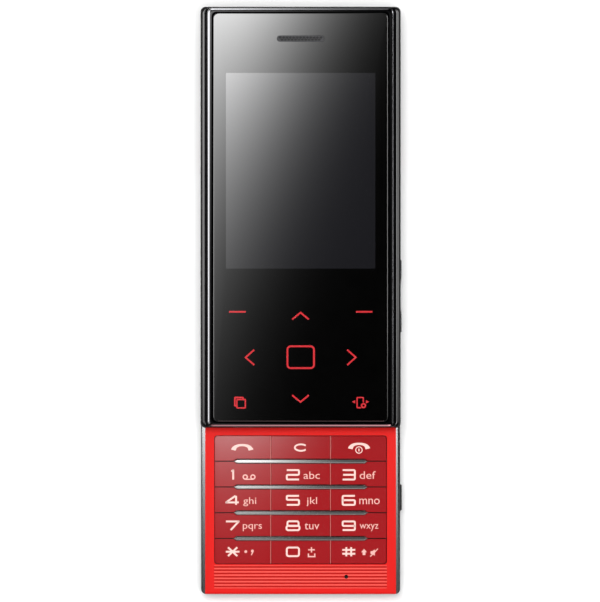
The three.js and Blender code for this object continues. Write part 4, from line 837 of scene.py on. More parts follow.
for face in cover_form.polygons:
    middle = face.center / MM
    on_chin = abs(middle.x) < PAD_X - NEAR and ribs_low < middle.y < ribs_high
    in_ribs = on_chin and middle.z > Z_RIB - 3 * RIB_RISE
    # The ribs' upper facets take the painted highlight and the lower facets the painted shade
    if in_ribs:
        face.material_index = 2 if middle.z > Z_RIB - RIB_RISE else 3
    elif abs(face.normal.z) < LEVEL_FACE and middle.y > ribs_low - NEAR:
        face.material_index = 1
    face.use_smooth = not in_ribs

# The rails' section: a rounded foot, a flat side, a rounded shoulder and a top that slopes outward
RAIL_FOOT = ((0.35, 0), (0.12, 0.18), (0.02, 0.55), (0, 1))
RAIL_SHOULDER = ((0, 0.5), (0.03, 0.36), (0.1, 0.25))
rail_section = [(COVER_X, Z_RAIL)]
rail_section += [(RAIL_X - inward, Z_RAIL + up) for inward, up in RAIL_FOOT]
rail_section += [(RAIL_X - inward, Z_RAIL_TOP - down) for inward, down in RAIL_SHOULDER]
rail_section.append((COVER_X, Z_RAIL_TOP))


def rail_form():
    """The right rail, before its ends and openings are cut."""
    return run_along(rail_section, -HALF_LENGTH, HALF_LENGTH)


port_end = PORT_HALF + PORT_GAP
port_slot = box(-RAIL_X - OVERRUN, -COVER_X + OVERRUN, USB_Y - port_end, USB_Y + port_end, *PORT_LEVELS)
rails = (
    ("side_rail_left", flipped(rail_form()), [port_slot]),
    ("side_rail_right", rail_form(), side_slots(COVER_X - OVERRUN, RAIL_X + OVERRUN, 0)),
)
for name, rail, slots in rails:
    rail = cut(common(rail, slab(*KEYPAD_PLAN, Z_RAIL - OVERRUN, Z_RAIL_TOP + OVERRUN)), slots)
    piece(f"{name}_crowned", rail, KEYPAD, RAIL, [name], edge=0.06, smooth=50)


# Keypad half: rear housing and battery cover

BACK_PLAN = (HOUSING_X, HALF_LENGTH, CORNER)
BACK_SIDE_ROLL = 1.4
BACK_END_ROLL = 1.0
WALL = 0.8
Z_BAY = 4.0
CONTACT_X = 4.1
CONTACT_ENDS = (3.65, 5.45)
LENS_LEDGE = 0.55
THROUGH_BACK = 1.8
LENS_HOLES = ((CAMERA_AT, 4.1, 3.3), (FLASH_AT, 1.7, 1.2))
SPEAKER_SLOTS = 4
SPEAKER_PITCH = 2
SPEAKER_SLOT = (4.5, 0.4, 0.39)
SCREW_HEAD = 1.5
SCREW_HEAD_DEPTH = 1.7
SCREW_SHANK = 0.75
FLANGE_POCKET_X = 22.75
GRIPS = 5
GRIP_Y = 17.5
GRIP_PITCH = 1.1
GRIP_REACH = 7
GRIP_SHORTER = 0.5
GRIP_HALF = 0.22
GRIP_CORNER = 0.2
GRIP_DEPTH = 0.18


def back_form():
    """The whole back with its rolled edges, solid up to the rails."""
    return loft(roll(BACK_PLAN, BACK_SIDE_ROLL, BACK_END_ROLL, 0, Z_RAIL))


z_core = Z_TRAY + FIT
over_board = Z_BOARD + OVERRUN
core = box(FIT - TRAY_X, TRAY_X - FIT, FIT - INNER_Y, COVER_EDGE + SEAM + FIT, z_core, Z_RAIL)
inner = box(-BLOCK_X, BLOCK_X, FIT - INNER_Y, INNER_Y - FIT, Z_RIM + SEAM, Z_BOARD)
under_cover = box(-BEYOND_X, BEYOND_X, -BEYOND_Y, COVER_EDGE + SEAM, -OVERRUN, Z_RIM + SEAM)
housing_form = joined(cut(back_form(), [under_cover]), [core, inner])
top_hollow = (COVER_EDGE + WALL, INNER_Y - FIT - WALL)
housing_cutters = [
    box(-BAY_X, BAY_X, BAY_LOW, BAY_HIGH, -OVERRUN, Z_BAY),
    box(-CONTACT_X, CONTACT_X, *CONTACT_ENDS, z_core, over_board),
    box(WALL - BLOCK_X, BLOCK_X - WALL, *top_hollow, Z_TRAY, over_board),
]
for place, window, barrel in LENS_HOLES:
    housing_cutters.append(rod(window, *place, -OVERRUN, LENS_LEDGE))
    housing_cutters.append(rod(barrel, *place, -OVERRUN, THROUGH_BACK))
housing_cutters.append(box(-BLOCK_X - OVERRUN, USB_DEPTH - BLOCK_X, *usb_ends))
for i in range(SPEAKER_SLOTS):
    y = SPEAKER_AT[1] + (i - (SPEAKER_SLOTS - 1) / 2) * SPEAKER_PITCH
    housing_cutters.append(slab(*SPEAKER_SLOT, -OVERRUN, THROUGH_BACK, SPEAKER_AT[0], y))
for side in (-1, 1):
    place = (side * SCREW_AT[0], SCREW_AT[1])
    housing_cutters.append(rod(SCREW_HEAD, *place, -OVERRUN, SCREW_HEAD_DEPTH))
    housing_cutters.append(rod(SCREW_SHANK, *place, -OVERRUN, over_board))
for y, half in side_keys.values():
    reach = half + FLANGE_OVER + KEY_GAP
    pocket = box(FLANGE_POCKET_X, INNER_X, y - reach, y + reach, KEY_SLOT_LEVELS[0], over_board)
    housing_cutters.append(pocket)
piece("housing_shell", cut(housing_form, housing_cutters), KEYPAD, HOUSING,
      ["lower_rear_housing"], edge=0.06)

behind_edge = box(-BEYOND_X, BEYOND_X, -BEYOND_Y, COVER_EDGE, -OVERRUN, Z_RIM)
tray_cutters = [box(-TRAY_X, TRAY_X, -INNER_Y, COVER_EDGE + OVERRUN, Z_TRAY, Z_RIM + OVERRUN)]
for i in range(GRIPS):
    reach = GRIP_REACH - GRIP_SHORTER * i
    grip_y = GRIP_Y - i * GRIP_PITCH
    tray_cutters.append(slab(reach, GRIP_HALF, GRIP_CORNER, -OVERRUN, GRIP_DEPTH, 0, grip_y))
piece("battery_cover_shell", cut(common(back_form(), behind_edge), tray_cutters), "rear_cover", HOUSING,
      ["battery_cover"], edge=0.1)

# Camera window with its metal ring, and the flash's lens, as radii and levels
CAMERA_RING = ((4.0, 0.5), (4.0, 0.12), (3.9, 0.03), (3.45, 0.03), (3.3, 0.14), (3.3, 0.5))
CAMERA_LENS = (3.28, 0.16, 0.5)
FLASH_LENS = ((1.35, 0.04), (1.55, 0.14), (1.6, 0.5))

ring_form = hoop(round_rings(CAMERA_AT, CAMERA_RING))
ring_form.flip_normals()
piece("camera_ring", ring_form, KEYPAD, STEEL)
radius, low, high = CAMERA_LENS
piece("camera_lens_window", rod(radius, *CAMERA_AT, low, high), KEYPAD, LENS,
      ["camera_window"], edge=0.04)
flash_form = loft(round_rings(FLASH_AT, FLASH_LENS))
piece("flash_lens", flash_form, KEYPAD, CLEAR, ["flash_window"])


# Keypad half: pointed bars between the rows, keys, and pink lines of painted highlight between the columns

Z_BAR = 5.15
BAR_IN = 4.9
BAR_HALF = 0.525
BAR_POINT = 0.8
BAR_GAP = 0.12
BAR_RINGS = (
    (0, Z_BAR), (0, Z_KEY_TOP - 0.02), (-0.06, Z_KEY_TOP + 0.06), (-0.22, Z_BAR_TOP), (-0.3, Z_BAR_TOP),
)
KEY_INSET = 0.13
PAD_GAP = 0.15
NUB_RADIUS = 1.1
NUB_LEVELS = (5.65, 6.35)
LINE_HALF = 0.07
LINE_END = 0.16
Z_LINE = 6.62
KEYS_BY_ROW = [names.split() for names in ("call clear end", "1 2 3", "4 5 6", "7 8 9", "star 0 hash")]
DIGIT_WORDS = "zero one two three four five six seven eight nine".split()


def key_body(key):
    """The body that a key rides on."""
    return f"{DIGIT_WORDS[int(key)] if key.isdigit() else key}_key"


def bar_outline(row, grow):
    """A bar's outline under a row of keys, made larger or smaller all round."""
    y = PAD_HIGH - (row + 1) * ROW_PITCH
    reach = PAD_X - BAR_IN + grow
    half = BAR_HALF + grow
    shoulder = reach - BAR_POINT
    return [
        (-reach, y), (-shoulder, y - half), (shoulder, y - half),
        (reach, y), (shoulder, y + half), (-shoulder, y + half),
    ]


def key_form(row, column):
    """A key's plate, cut clear of the bars beside it, on the nub that presses its dome."""
    left = COLUMN_EDGES[column] + (KEY_INSET if column > 0 else 0)
    right = COLUMN_EDGES[column + 1] - (KEY_INSET if column < COLUMNS - 1 else 0)
    high = PAD_HIGH - row * ROW_PITCH - (KEY_INSET if row > 0 else 0)
    low = PAD_HIGH - (row + 1) * ROW_PITCH + (KEY_INSET if row < ROWS - 1 else 0)
    levels = (Z_KEY - OVERRUN, Z_KEY_TOP + OVERRUN)
    field = slab(PAD_X - PAD_GAP, pad_half - PAD_GAP, PAD_CORNER, Z_KEY, Z_KEY_TOP, 0, pad_middle)
    plate = common(field, box(left, right, low, high, *levels))
    beside = [bar for bar in (row - 1, row) if 0 <= bar < ROWS - 1]
    plate = cut(plate, [prism(bar_outline(bar, BAR_GAP), *levels) for bar in beside])
    middle_x = (COLUMN_EDGES[column] + COLUMN_EDGES[column + 1]) / 2
    middle_y = PAD_HIGH - (row + 0.5) * ROW_PITCH
    return joined(plate, [rod(NUB_RADIUS, middle_x, middle_y, *NUB_LEVELS, SMALL_STEPS)])


for row in range(ROWS - 1):
    bar_form = loft([(bar_outline(row, grow), level) for grow, level in BAR_RINGS])
    piece(f"bar_{row + 1}", bar_form, KEYPAD, BARS, [f"row_bar_{row + 1}"], smooth=25)
for row, names in enumerate(KEYS_BY_ROW):
    for column, key in enumerate(names):
        piece(f"key_plate_{key}", key_form(row, column), key_body(key), KEYS,
              [f"key_{key}"], edge=0.09, steps=3)
# A pink strip in each gap between the columns is a painted highlight on the groove's edge
for side, name in ((-1, "left"), (1, "right")):
    x = side * COLUMN_X
    strip = box(x - LINE_HALF, x + LINE_HALF, PAD_LOW + LINE_END, PAD_HIGH - LINE_END, Z_BAR, Z_LINE)
    piece(f"column_highlight_{name}", strip, KEYPAD, COLUMN_PAINTED_HIGHLIGHT)


# Legends on the keys. Their places are pixels of an enlarged crop of the photo

LEGEND_LEVELS = (Z_KEY_TOP - 0.01, Z_KEY_TOP + 0.015)
CROP_SCALE = 7.84
CROP_LEFT = 200
CROP_TOP = 430
DIGIT_LINE = 0.46
SIGN_LINE = 0.32
SMALL_LINE = 0.3
DOT = 0.36
SOFT_BEND = 0.34
SHARP_BEND = 0.1
SHARP_GLYPHS = ("1", "4", "7", "star", "hash")
BEND_STEPS = 5
BEND_SHARE = 0.49
LETTER_SIZE = 2
LETTER_WEIGHT = -0.004
LETTER_STEPS = 4


def on_crop(u, v):
    """The place in millimetres of a pixel of the crop."""
    return on_photo(CROP_LEFT + u / CROP_SCALE, CROP_TOP + v / CROP_SCALE)


def window_edges(window, inward=0):
    """The left, right, top and bottom in millimetres of a window in that order, drawn in."""
    left, top = on_crop(window[0], window[2])
    right, bottom = on_crop(window[1], window[3])
    return left + inward, right - inward, top - inward, bottom + inward


def line_on(pixels, width):
    return band([on_crop(*pixel) for pixel in pixels], width, LEGEND_LEVELS)


def patch_on(pixels):
    return prism([on_crop(*pixel) for pixel in pixels], *LEGEND_LEVELS)


def dot_on(u, v):
    return rod(DOT, *on_crop(u, v), *LEGEND_LEVELS, DOT_STEPS)


def circle_on(u, v, radius, width):
    return round_ring(radius, width, LEGEND_LEVELS, on_crop(u, v))


def box_ring(window, radius):
    """A rounded box drawn as a line in a window."""
    left, right, top, bottom = window_edges(window)
    place = ((left + right) / 2, (top + bottom) / 2)
    return frame_ring((right - left) / 2, (top - bottom) / 2, radius, DIGIT_LINE, LEGEND_LEVELS, place)


def softened(points, radius):
    """A polyline with its inner corners rounded."""
    result = [points[0]]
    for before, here, after in zip(points, points[1:], points[2:]):
        corner, back, on = Vector(here), Vector(before), Vector(after)
        reach = min(radius, (back - corner).length * BEND_SHARE, (on - corner).length * BEND_SHARE)
        start = corner + (back - corner).normalized() * reach
        end = corner + (on - corner).normalized() * reach
        for step in range(BEND_STEPS + 1):
            share = step / BEND_STEPS
            blend = start * (1 - share) ** 2 + corner * (2 * share * (1 - share)) + end * share ** 2
            result.append(tuple(blend))
    result.append(points[-1])
    return result


def stacked(forms):
    """Forms that lie apart, gathered into one mesh."""
    corners, faces = [], []
    for form in forms:
        start = len(corners)
        corners += [tuple(vertex.co) for vertex in form.vertices]
        faces += [tuple(start + i for i in face.vertices) for face in form.polygons]
    return made(corners, faces)


def strokes_in(window, lines, radius):
    """Rounded strokes given in shares of a window."""
    left, right, top, bottom = window_edges(window, DIGIT_LINE / 2)
    bands = []
    for line in lines:
        placed = [(left + px * (right - left), bottom + py * (top - bottom)) for px, py in line]
        bands.append(band(softened(placed, radius), DIGIT_LINE, LEGEND_LEVELS))
    return joined(bands[0], bands[1:]) if len(bands) > 1 else bands[0]


def letters_in(window, text):
    """Plain small letters, fitted to a window."""
    low, high = LEGEND_LEVELS
    curve = bpy.data.curves.new("letters", "FONT")
    curve.body = text
    curve.size = LETTER_SIZE
    curve.offset = LETTER_WEIGHT
    curve.extrude = (high - low) / 2
    curve.resolution_u = LETTER_STEPS
    helper = added("letters", curve)
    graph = bpy.context.evaluated_depsgraph_get()
    form = bpy.data.meshes.new_from_object(helper.evaluated_get(graph))
    bpy.data.objects.remove(helper)
    xs = [vertex.co.x for vertex in form.vertices]
    ys = [vertex.co.y for vertex in form.vertices]
    left, right, top, bottom = window_edges(window)
    scale_x = (right - left) / (max(xs) - min(xs))
    scale_y = (top - bottom) / (max(ys) - min(ys))
    for vertex in form.vertices:
        vertex.co.x = left + (vertex.co.x - min(xs)) * scale_x
        vertex.co.y = bottom + (vertex.co.y - min(ys)) * scale_y
        vertex.co.z += (low + high) / 2
    return form


# Half of a handset's outline in millimetres, from the middle of its top
HANDSET_OUTER = [
    (0.7, -0.03), (1.3, -0.13), (1.75, -0.28), (2.1, -0.47), (2.45, -0.78), (2.7, -1.08), (2.82, -1.42),
]
HANDSET_UNDER = [(1.66, -1.66), (1.4, -0.98), (1.0, -0.73), (0.55, -0.59)]
HANDSET_THICK = 0.55


def handset(u, v):
    """A handset seen from its side: a thick bow with a heavy tip at each end."""
    x, y = on_crop(u, v)
    right = [(0, 0)] + HANDSET_OUTER + HANDSET_UNDER + [(0, -HANDSET_THICK)]
    left = [(-px, py) for px, py in reversed(right[1:-1])]
    return prism([(x + px, y + py) for px, py in reversed(right + left)], *LEGEND_LEVELS)


LEFT_U, MIDDLE_U, RIGHT_U = (200, 310), (673, 783), (1112, 1222)
ROW_V = [(310, 398), (512, 597), (713, 795), (918, 998)]
GLYPHS = {
    "1": ((238, 272), 0, [[(0, 0.86), (0.72, 1), (0.72, 0)]]),
    "2": (MIDDLE_U, 0, [[(0, 1), (1, 1), (1, 0.5), (0, 0.5), (0, 0), (1, 0)]]),
    "3": (RIGHT_U, 0, [[(0, 1), (1, 1), (1, 0), (0, 0)], [(0.04, 0.5), (1, 0.5)]]),
    "4": (LEFT_U, 1, [[(0.74, 1), (-0.05, 0.27), (1, 0.27)], [(0.78, 1), (0.78, 0)]]),
    "5": (MIDDLE_U, 1, [[(1, 1), (0, 1), (0, 0.56), (1, 0.56), (1, 0), (0, 0)]]),
    "6": (RIGHT_U, 1, [[(1, 1), (0, 1), (0, 0), (1, 0), (1, 0.52), (0, 0.52)]]),
    "7": (LEFT_U, 2, [[(-0.05, 1), (1, 1), (0.34, 0)]]),
    "9": (RIGHT_U, 2, [[(0, 0), (1, 0), (1, 1), (0, 1), (0, 0.48), (1, 0.48)]]),
    "star": (LEFT_U, 3, [[(-0.06, 0.5), (1.06, 0.5)], [(0.12, -0.02), (0.88, 1.02)],
                      [(0.12, 1.02), (0.88, -0.02)]]),
    "hash": (RIGHT_U, 3, [[(-0.03, 0.72), (1.03, 0.72)], [(-0.03, 0.26), (1.03, 0.26)],
                       [(0.3, -0.05), (0.3, 1.03)], [(0.7, -0.05), (0.7, 1.03)]]),
}
LETTERS = {
    "2": ((812, 940, 328, 386), "abc"), "3": ((1253, 1378, 326, 386), "def"),
    "4": ((338, 440, 530, 600), "ghi"), "5": ((835, 918, 530, 600), "jkl"),
    "6": ((1250, 1410, 541, 585), "mno"), "7": ((335, 485, 741, 796), "pqrs"),
    "8": ((820, 935, 734, 783), "tuv"), "9": ((1253, 1400, 741, 796), "wxyz"),
}
ZERO_BOX = ((673, 783, 918, 1000), 0.75)
EIGHT_LOW = ((671, 787, 747, 796), 0.68)
EIGHT_HIGH = ((678, 780, 712, 763), 0.66)
legend_forms = {}
for key, (across, row, lines) in GLYPHS.items():
    bend = SHARP_BEND if key in SHARP_GLYPHS else SOFT_BEND
    legend_forms[key] = [strokes_in((*across, *ROW_V[row]), lines, bend)]
for key, (window, text) in LETTERS.items():
    legend_forms.setdefault(key, []).append(letters_in(window, text))
legend_forms["0"] = [box_ring(*ZERO_BOX)]
legend_forms["8"].append(joined(box_ring(*EIGHT_LOW), [box_ring(*EIGHT_HIGH)]))

# The call and end handsets, the open loop of the clear key and the power sign
CALL_AT = (330, 112)
END_AT = (1248, 102)
CLEAR_AT = (791, 140)
CLEAR_SIZES = (1.55, 0.82)
CLEAR_TURNS = (38, 322)
CLEAR_STEPS = 20
CLEAR_LINE = 0.42
POWER_AT = (1247, 159)
POWER_SIZES = (0.92, 0.22)
POWER_STROKE = 0.34

x, y = on_crop(*CLEAR_AT)
first, last = CLEAR_TURNS
clear_points = []
for step in range(CLEAR_STEPS + 1):
    turn = math.radians(first + (last - first) * step / CLEAR_STEPS)
    clear_points.append((x + CLEAR_SIZES[0] * math.cos(turn), y + CLEAR_SIZES[1] * math.sin(turn)))
legend_forms["call"] = [handset(*CALL_AT)]
legend_forms["clear"] = [band(clear_points, CLEAR_LINE, LEGEND_LEVELS)]
power_x, power_y = on_crop(*POWER_AT)
power_stroke = [(power_x, power_y - POWER_STROKE), (power_x, power_y + POWER_STROKE)]
legend_forms["end"] = [
    handset(*END_AT), circle_on(*POWER_AT, *POWER_SIZES), band(power_stroke, SMALL_LINE, LEGEND_LEVELS),
]

# The signs beside 1, the star, 0 and the hash
LOOPS_AT = ((354, 371), (414, 371))
LOOP_SIZES = (0.68, 0.32)
LOOP_BASE = [(350, 389), (418, 389)]
STAR_DOT_AT = (358, 957)
COMMA_AT = (410, 952)
COMMA_TAIL = [(417, 952), (402, 984)]
PLUS_ACROSS = [(848, 943), (900, 943)]
PLUS_UP = [(874, 964), (874, 922)]
SLASH_LINE = 0.26
TRAY_SIGN = [(850, 972), (850, 996), (900, 996), (900, 972)]
ARROW_SIGN = [(1287, 936), (1264, 962), (1276, 962), (1276, 984), (1298, 984), (1298, 962), (1310, 962)]
HORN_SIGN = [(1338, 954), (1338, 976), (1352, 976), (1372, 990), (1372, 940), (1352, 954)]
HORN_SLASH = [(1336, 996), (1396, 934)]

left_loop, right_loop = [circle_on(*place, *LOOP_SIZES) for place in LOOPS_AT]
legend_forms["1"].append(joined(left_loop, [right_loop, line_on(LOOP_BASE, SMALL_LINE)]))
comma = joined(dot_on(*COMMA_AT), [line_on(COMMA_TAIL, SMALL_LINE)])
legend_forms["star"] += [dot_on(*STAR_DOT_AT), comma]
plus_sign = joined(line_on(PLUS_ACROSS, SIGN_LINE), [line_on(PLUS_UP, SIGN_LINE)])
legend_forms["0"] += [plus_sign, line_on(TRAY_SIGN, SIGN_LINE)]
horn = joined(patch_on(HORN_SIGN), [line_on(HORN_SLASH, SLASH_LINE)])
legend_forms["hash"] += [patch_on(ARROW_SIGN), horn]

# The letters and signs, which lie to the right of each digit, are printed finer
FINE_FROM_U = (322, 798, 1236)
for row, names in enumerate(KEYS_BY_ROW):
    for column, key in enumerate(names):
        form = stacked(legend_forms[key])
        piece(f"legend_{key}", form, key_body(key), LEGEND, smooth=20)
        form.materials.append(LEGEND_FINE)
        fine_from = on_crop(FINE_FROM_U[column], 0)[0]
        for face in form.polygons:
            face.material_index = 1 if row > 0 and face.center.x / MM > fine_from else 0


# Side keys, proud of the rail and held by a flange. The rocker's face dips between its pads

FLANGE_IN = 0.3
FLANGE_THICK = 0.25
KEY_PROUD = 0.45
SIDE_KEY_CORNER = 0.4
SIDE_KEY_LEVELS = (3.2, 5.2)
DIP_STEPS = 8
ROCKER_PAD = 4.6
ROCKER_DIP = 0.18


def side_key(name, body, dip_points):
    """A key with its flange behind the rail, bevelled ends and the points of its dip."""
    y, half = side_keys[name]
    flange = COVER_X - FLANGE_IN
    face = RAIL_X + KEY_PROUD
    over = half + FLANGE_OVER
    bevel = ((face - SIDE_KEY_CORNER, half), (face, half - SIDE_KEY_CORNER))
    upper = [*reversed(bevel), (flange, half), (flange, over), (flange - FLANGE_THICK, over)]
    points = [(x, -reach) for x, reach in reversed(upper)]
    points += [(face - dip, along) for dip, along in dip_points] + upper
    placed = [(x, y + along) for x, along in points]
    piece(f"{name}_rounded", prism(placed, *SIDE_KEY_LEVELS), body, RAIL, [name],
          edge=0.16, steps=3)


shares = [2 * i / DIP_STEPS - 1 for i in range(DIP_STEPS + 1)]
dip_reach = SIDE_KEY_HALVES["volume_rocker"] - ROCKER_PAD
side_key("camera_key", "side_camera_key", [])
side_key("volume_rocker", "side_volume_key",
         [(ROCKER_DIP * (1 - share ** 4), share * dip_reach) for share in shares])

# The cover over the connector is a piece of the rail's own section, round at its hinge end
FLAP_ROUND = 0.5
FLAP_AXIS_IN = 0.55
FLAP_LEVELS = (2.05, 4.75)
NAIL_DEPTH = 0.14
NAIL_LENGTH = 0.7
NAIL_LEVELS = (2.9, 3.9)

axis_x = FLAP_AXIS_IN - RAIL_X
axis_y = USB_Y + PORT_HALF - FLAP_ROUND
flap_end = USB_Y - PORT_HALF
flap = box(-RAIL_X - OVERRUN, axis_x + FLAP_ROUND, flap_end, axis_y, *FLAP_LEVELS)
flap = joined(flap, [rod(FLAP_ROUND, axis_x, axis_y, *FLAP_LEVELS)])
flap = common(flap, flipped(rail_form()))
nail = box(-RAIL_X - OVERRUN, NAIL_DEPTH - RAIL_X, flap_end - OVERRUN, flap_end + NAIL_LENGTH, *NAIL_LEVELS)
piece("port_flap_cover", cut(flap, [nail]), "port_flap", RAIL, ["port_cover"], edge=0.05)

# Screws with a cross in their heads
SCREW_RINGS = ((1.3, Z_PLATE), (1.48, Z_PLATE + 0.08), (1.48, Z_PLATE + 0.35))
SHANK = (0.65, Z_PLATE + 0.2, Z_PLATE_TOP + 1)
CROSS_SIZES = (0.75, 0.13)
CROSS_DEPTH = 0.22

for node_name in ("slide_screw_1", "slide_screw_2", "slide_screw_3", "slide_screw_4"):
    low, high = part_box(node_name)
    x = (low.x + high.x) / 2 / MM
    y = (low.y + high.y) / 2 / MM
    head = loft(round_rings((x, y), SCREW_RINGS))
    shank = rod(SHANK[0], x, y, *SHANK[1:], SMALL_STEPS)
    cross = []
    for half_x, half_y in (CROSS_SIZES, CROSS_SIZES[::-1]):
        ends = (x - half_x, x + half_x, y - half_y, y + half_y)
        cross.append(box(*ends, Z_PLATE - OVERRUN, Z_PLATE + CROSS_DEPTH))
    form = cut(joined(head, [shank]), cross)
    piece(f"{node_name}_cross", form, DISPLAY, DARK, [node_name], smooth=30)

# The flexible cable and the slide spring, as copies of their parts with their own finishes
FLEX_BEND = (6.8, 7.3)

for node_name, finish, slot in (("flex_cable", FLEX, "flex_amber"), ("slide_spring", STEEL, "plain_steel")):
    low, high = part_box(node_name)
    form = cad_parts[node_name].data.copy()
    soft = added(f"{node_name}_moving", form)
    form.materials.clear()
    form.materials.append(finish)
    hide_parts(node_name)
    if node_name == "flex_cable":
        start, end = [(0, 0, level * MM) for level in FLEX_BEND]
    else:
        start, end = (0, low.y, 0), (0, high.y, 0)
    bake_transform(soft)


# Floor, in metres

FLOOR_HALF = 1.5
FLOOR_DROP = 0.0002

floor_mesh = sheet(FLOOR_HALF, FLOOR_HALF, UPWARD)
floor = added("floor", floor_mesh)
floor.location.z = -FLOOR_DROP
floor_mesh.materials.append(FLOOR)
floor.visible_glossy = False


# World: white to the camera, an even glow for diffuse light and a pale horizon that only gloss mirrors

HORIZON_TOP = (0.2, 0.75)
HORIZON_FOOT = (-0.75, -0.35)
HORIZON_GLOW = 0.6
FOOT_SHARE = 0.12
DIFFUSE_GLOW = 0.52

world = bpy.data.worlds.new("studio")
bpy.context.scene.world = world
world.use_nodes = True
sky = world.node_tree
backdrop = sky.nodes["Background"]
backdrop.inputs["Strength"].default_value = 1
place = sky.nodes.new("ShaderNodeTexCoord")
parts = sky.nodes.new("ShaderNodeSeparateXYZ")
sky.links.new(place.outputs["Generated"], parts.inputs["Vector"])
rays = sky.nodes.new("ShaderNodeLightPath").outputs
up = parts.outputs["Z"]
above = ranged(sky, up, *HORIZON_TOP, HORIZON_GLOW, 0)
below = ranged(sky, up, *HORIZON_FOOT, FOOT_SHARE, 1)
horizon = maths(sky, "MULTIPLY", above, below)
mirrored = maths(sky, "MULTIPLY", rays["Is Glossy Ray"], horizon)
diffuse = maths(sky, "MULTIPLY", rays["Is Diffuse Ray"], DIFFUSE_GLOW)
seen = maths(sky, "MAXIMUM", rays["Is Camera Ray"], rays["Is Transmission Ray"])
total = maths(sky, "MAXIMUM", maths(sky, "ADD", mirrored, diffuse), seen)
sky.links.new(total, backdrop.inputs["Color"])


# Lamps and cards, placed in millimetres

LAMP_SIZE = 300
LAMP_AIM = Vector((0, 20, 0))
LAMPS = (("key_light", (-80, 150, 750), 3.3), ("fill_light", (110, -70, 750), 2.1))
WHITE = (1, 1, 1, 1)
PINK = (1, 0.5, 0.52, 1)

for name, place, power in LAMPS:
    lamp = bpy.data.lights.new(name, "AREA")
    lamp.shape = "SQUARE"
    lamp.size = LAMP_SIZE * MM
    lamp.energy = power
    obj = added(name, lamp)
    obj.location = Vector(place) * MM
    obj.rotation_euler = (LAMP_AIM - Vector(place)).to_track_quat("-Z", "Y").to_euler()
    obj.visible_glossy = False


def glow_card(name, place, half_x, half_y, emission):
    """A soft card above the phone that only mirrors in it, with its glow given by emission."""
    mesh = sheet(half_x, half_y, DOWNWARD)
    mesh.transform(Matrix.Scale(MM, 4))
    card = added(name, mesh)
    card.location = Vector(place) * MM
    card.visible_camera = False
    card.visible_diffuse = False
    card.visible_shadow = False
    card.visible_transmission = False
    mesh.materials.append(emission)
    return card


def falloff(name, origin, terms, ceiling, least=0, colour=WHITE):
    """An emission whose strength is e to the power of a slope over its card, between two ends.

    The terms are for 1, x, y, x squared, x times y and y squared, in millimetres.
    """
    material = bpy.data.materials.new(name)
    material.use_nodes = True
    tree = material.node_tree
    tree.nodes.clear()
    output = tree.nodes.new("ShaderNodeOutputMaterial")
    glow = tree.nodes.new("ShaderNodeEmission")
    place = tree.nodes.new("ShaderNodeTexCoord")
    mapping = tree.nodes.new("ShaderNodeMapping")
    parts = tree.nodes.new("ShaderNodeSeparateXYZ")
    set_inputs(mapping, {"Scale": (1 / MM, 1 / MM, 1 / MM), "Location": (*origin, 0)})
    tree.links.new(place.outputs["Object"], mapping.inputs["Vector"])
    tree.links.new(mapping.outputs["Vector"], parts.inputs["Vector"])
    along, up = parts.outputs["X"], parts.outputs["Y"]

    def scaled(first, second, third):
        """The first times the second, plus the third."""
        return maths(tree, "MULTIPLY_ADD", first, second, third)

    flat, by_x, by_y, by_xx, by_xy, by_yy = terms
    slope_x = scaled(up, by_xy, scaled(along, by_xx, by_x))
    slope_y = scaled(up, by_yy, by_y)
    power = maths(tree, "POWER", math.e, scaled(along, slope_x, scaled(up, slope_y, flat)))
    strength = maths(tree, "MAXIMUM", maths(tree, "MINIMUM", power, ceiling), least)
    tree.links.new(strength, glow.inputs["Strength"])
    set_inputs(glow, {"Color": colour})
    tree.links.new(glow.outputs["Emission"], output.inputs["Surface"])
    return material


# Level cards: their middle and half sizes, the terms of their glow, its ceiling and its least
LEVEL_CARDS = {
    "glass": ((0, SLIDE_TRAVEL, 160), (36, 59), (-4.64, -0.188, 0.0674, -0.00182, 0.00103, -0.000075), 12, 0),
    "left": ((-222, 75, 900), (124, 245), (math.log(3.4), 0, 0.008, 0, 0, 0), 8, 0),
    "right": ((49.25, SLIDE_TRAVEL, 160), (13.25, 59), (math.log(0.15), 0, -0.006, 0, 0, 0), 8, 0),
    "keys": ((0, -33.5, 159), (23.4, 19.5), (1.58, -0.1406, 0.095, -0.00357, 0, 0), 8, 0.12),
}
for name, (place, halves, terms, ceiling, least) in LEVEL_CARDS.items():
    glow = falloff(f"{name}_glow", place[:2], terms, ceiling, least)
    glow_card(f"{name}_card", place, *halves, glow)

STRIP_REACH = 300
STRIP_HALF = 150
STRIP_Y = 20


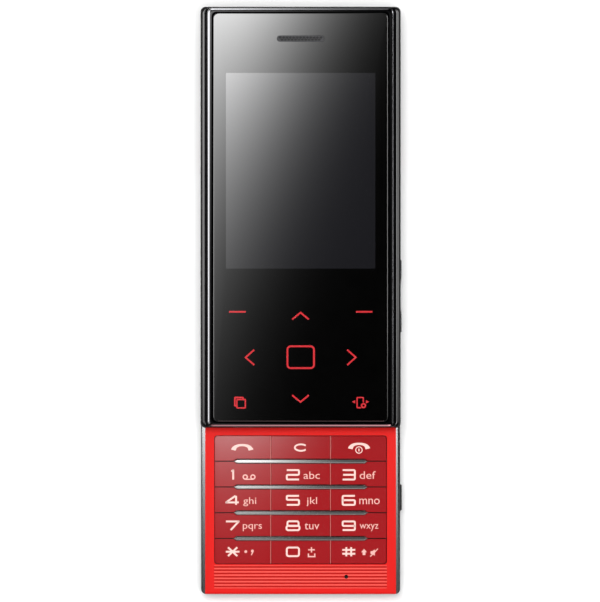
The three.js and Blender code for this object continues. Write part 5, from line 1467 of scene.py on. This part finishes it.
def strip_card(name, across, low, high, terms, ceiling):
    """A long soft card far off, seen between two angles from overhead, that fades down the phone.

    Along X it lies to the left of the phone where across is -1 and to the right where it is 1.
    """
    turn = math.radians((low + high) / 2)
    half = STRIP_REACH * math.tan(math.radians((high - low) / 2))
    place = (across * STRIP_REACH * math.sin(turn), STRIP_Y, STRIP_REACH * math.cos(turn))
    card = glow_card(name, place, half, STRIP_HALF, falloff(name, (0, STRIP_Y), terms, ceiling))
    card.rotation_euler = (0, across * turn, 0)


strip_card("left_strip", -1, 17, 41, (2.02, 0.022, 0.0487, 0, 0, -0.000457), 11)
strip_card("right_strip", 1, 14, 38, (1.6, 0, 0.045, 0, 0, -0.0003), 9)

END_REACH = 3000
END_TURN = math.radians(32)
END_SPREAD = math.radians(9)
END_CARD_X = 300
END_CEILING = 8


def end_card(name, way, start_y, terms, colour=WHITE):
    """A far, tilted card that lights an end of the bezel.

    It lies beyond the earpiece where way is 1 and beyond the chin where it is -1.
    """
    half = END_REACH * math.tan(END_SPREAD)
    place = (0, start_y + way * END_REACH * math.sin(END_TURN), END_REACH * math.cos(END_TURN))
    glow = falloff(name, (0, 0), terms, END_CEILING, colour=colour)
    card = glow_card(name, place, END_CARD_X, half, glow)
    card.rotation_euler = (-way * END_TURN, 0, 0)


end_card("top_card", 1, TOP_END, (math.log(1.9), -0.035, 0, 0, 0, 0))
end_card("low_card", -1, SLIDE_TRAVEL - HALF_LENGTH, (math.log(3.6), 0.004, 0, 0, 0, 0), PINK)


# The camera looks straight down, with the earpiece at the top of the picture

PICTURE_LONG_SIDE = 602
VIEW_FROM = (-0.152, 21.06, 3000)

lens = bpy.data.cameras.new("camera")
camera = added("camera", lens)
camera.location = Vector(VIEW_FROM) * MM
lens.sensor_fit = "AUTO"
lens.lens = lens.sensor_width * (VIEW_FROM[2] - Z_GLASS_TOP) / (PICTURE_LONG_SIDE / PIXELS_PER_MM)
bpy.context.scene.camera = camera
bpy.context.scene.view_settings.view_transform = "Standard"
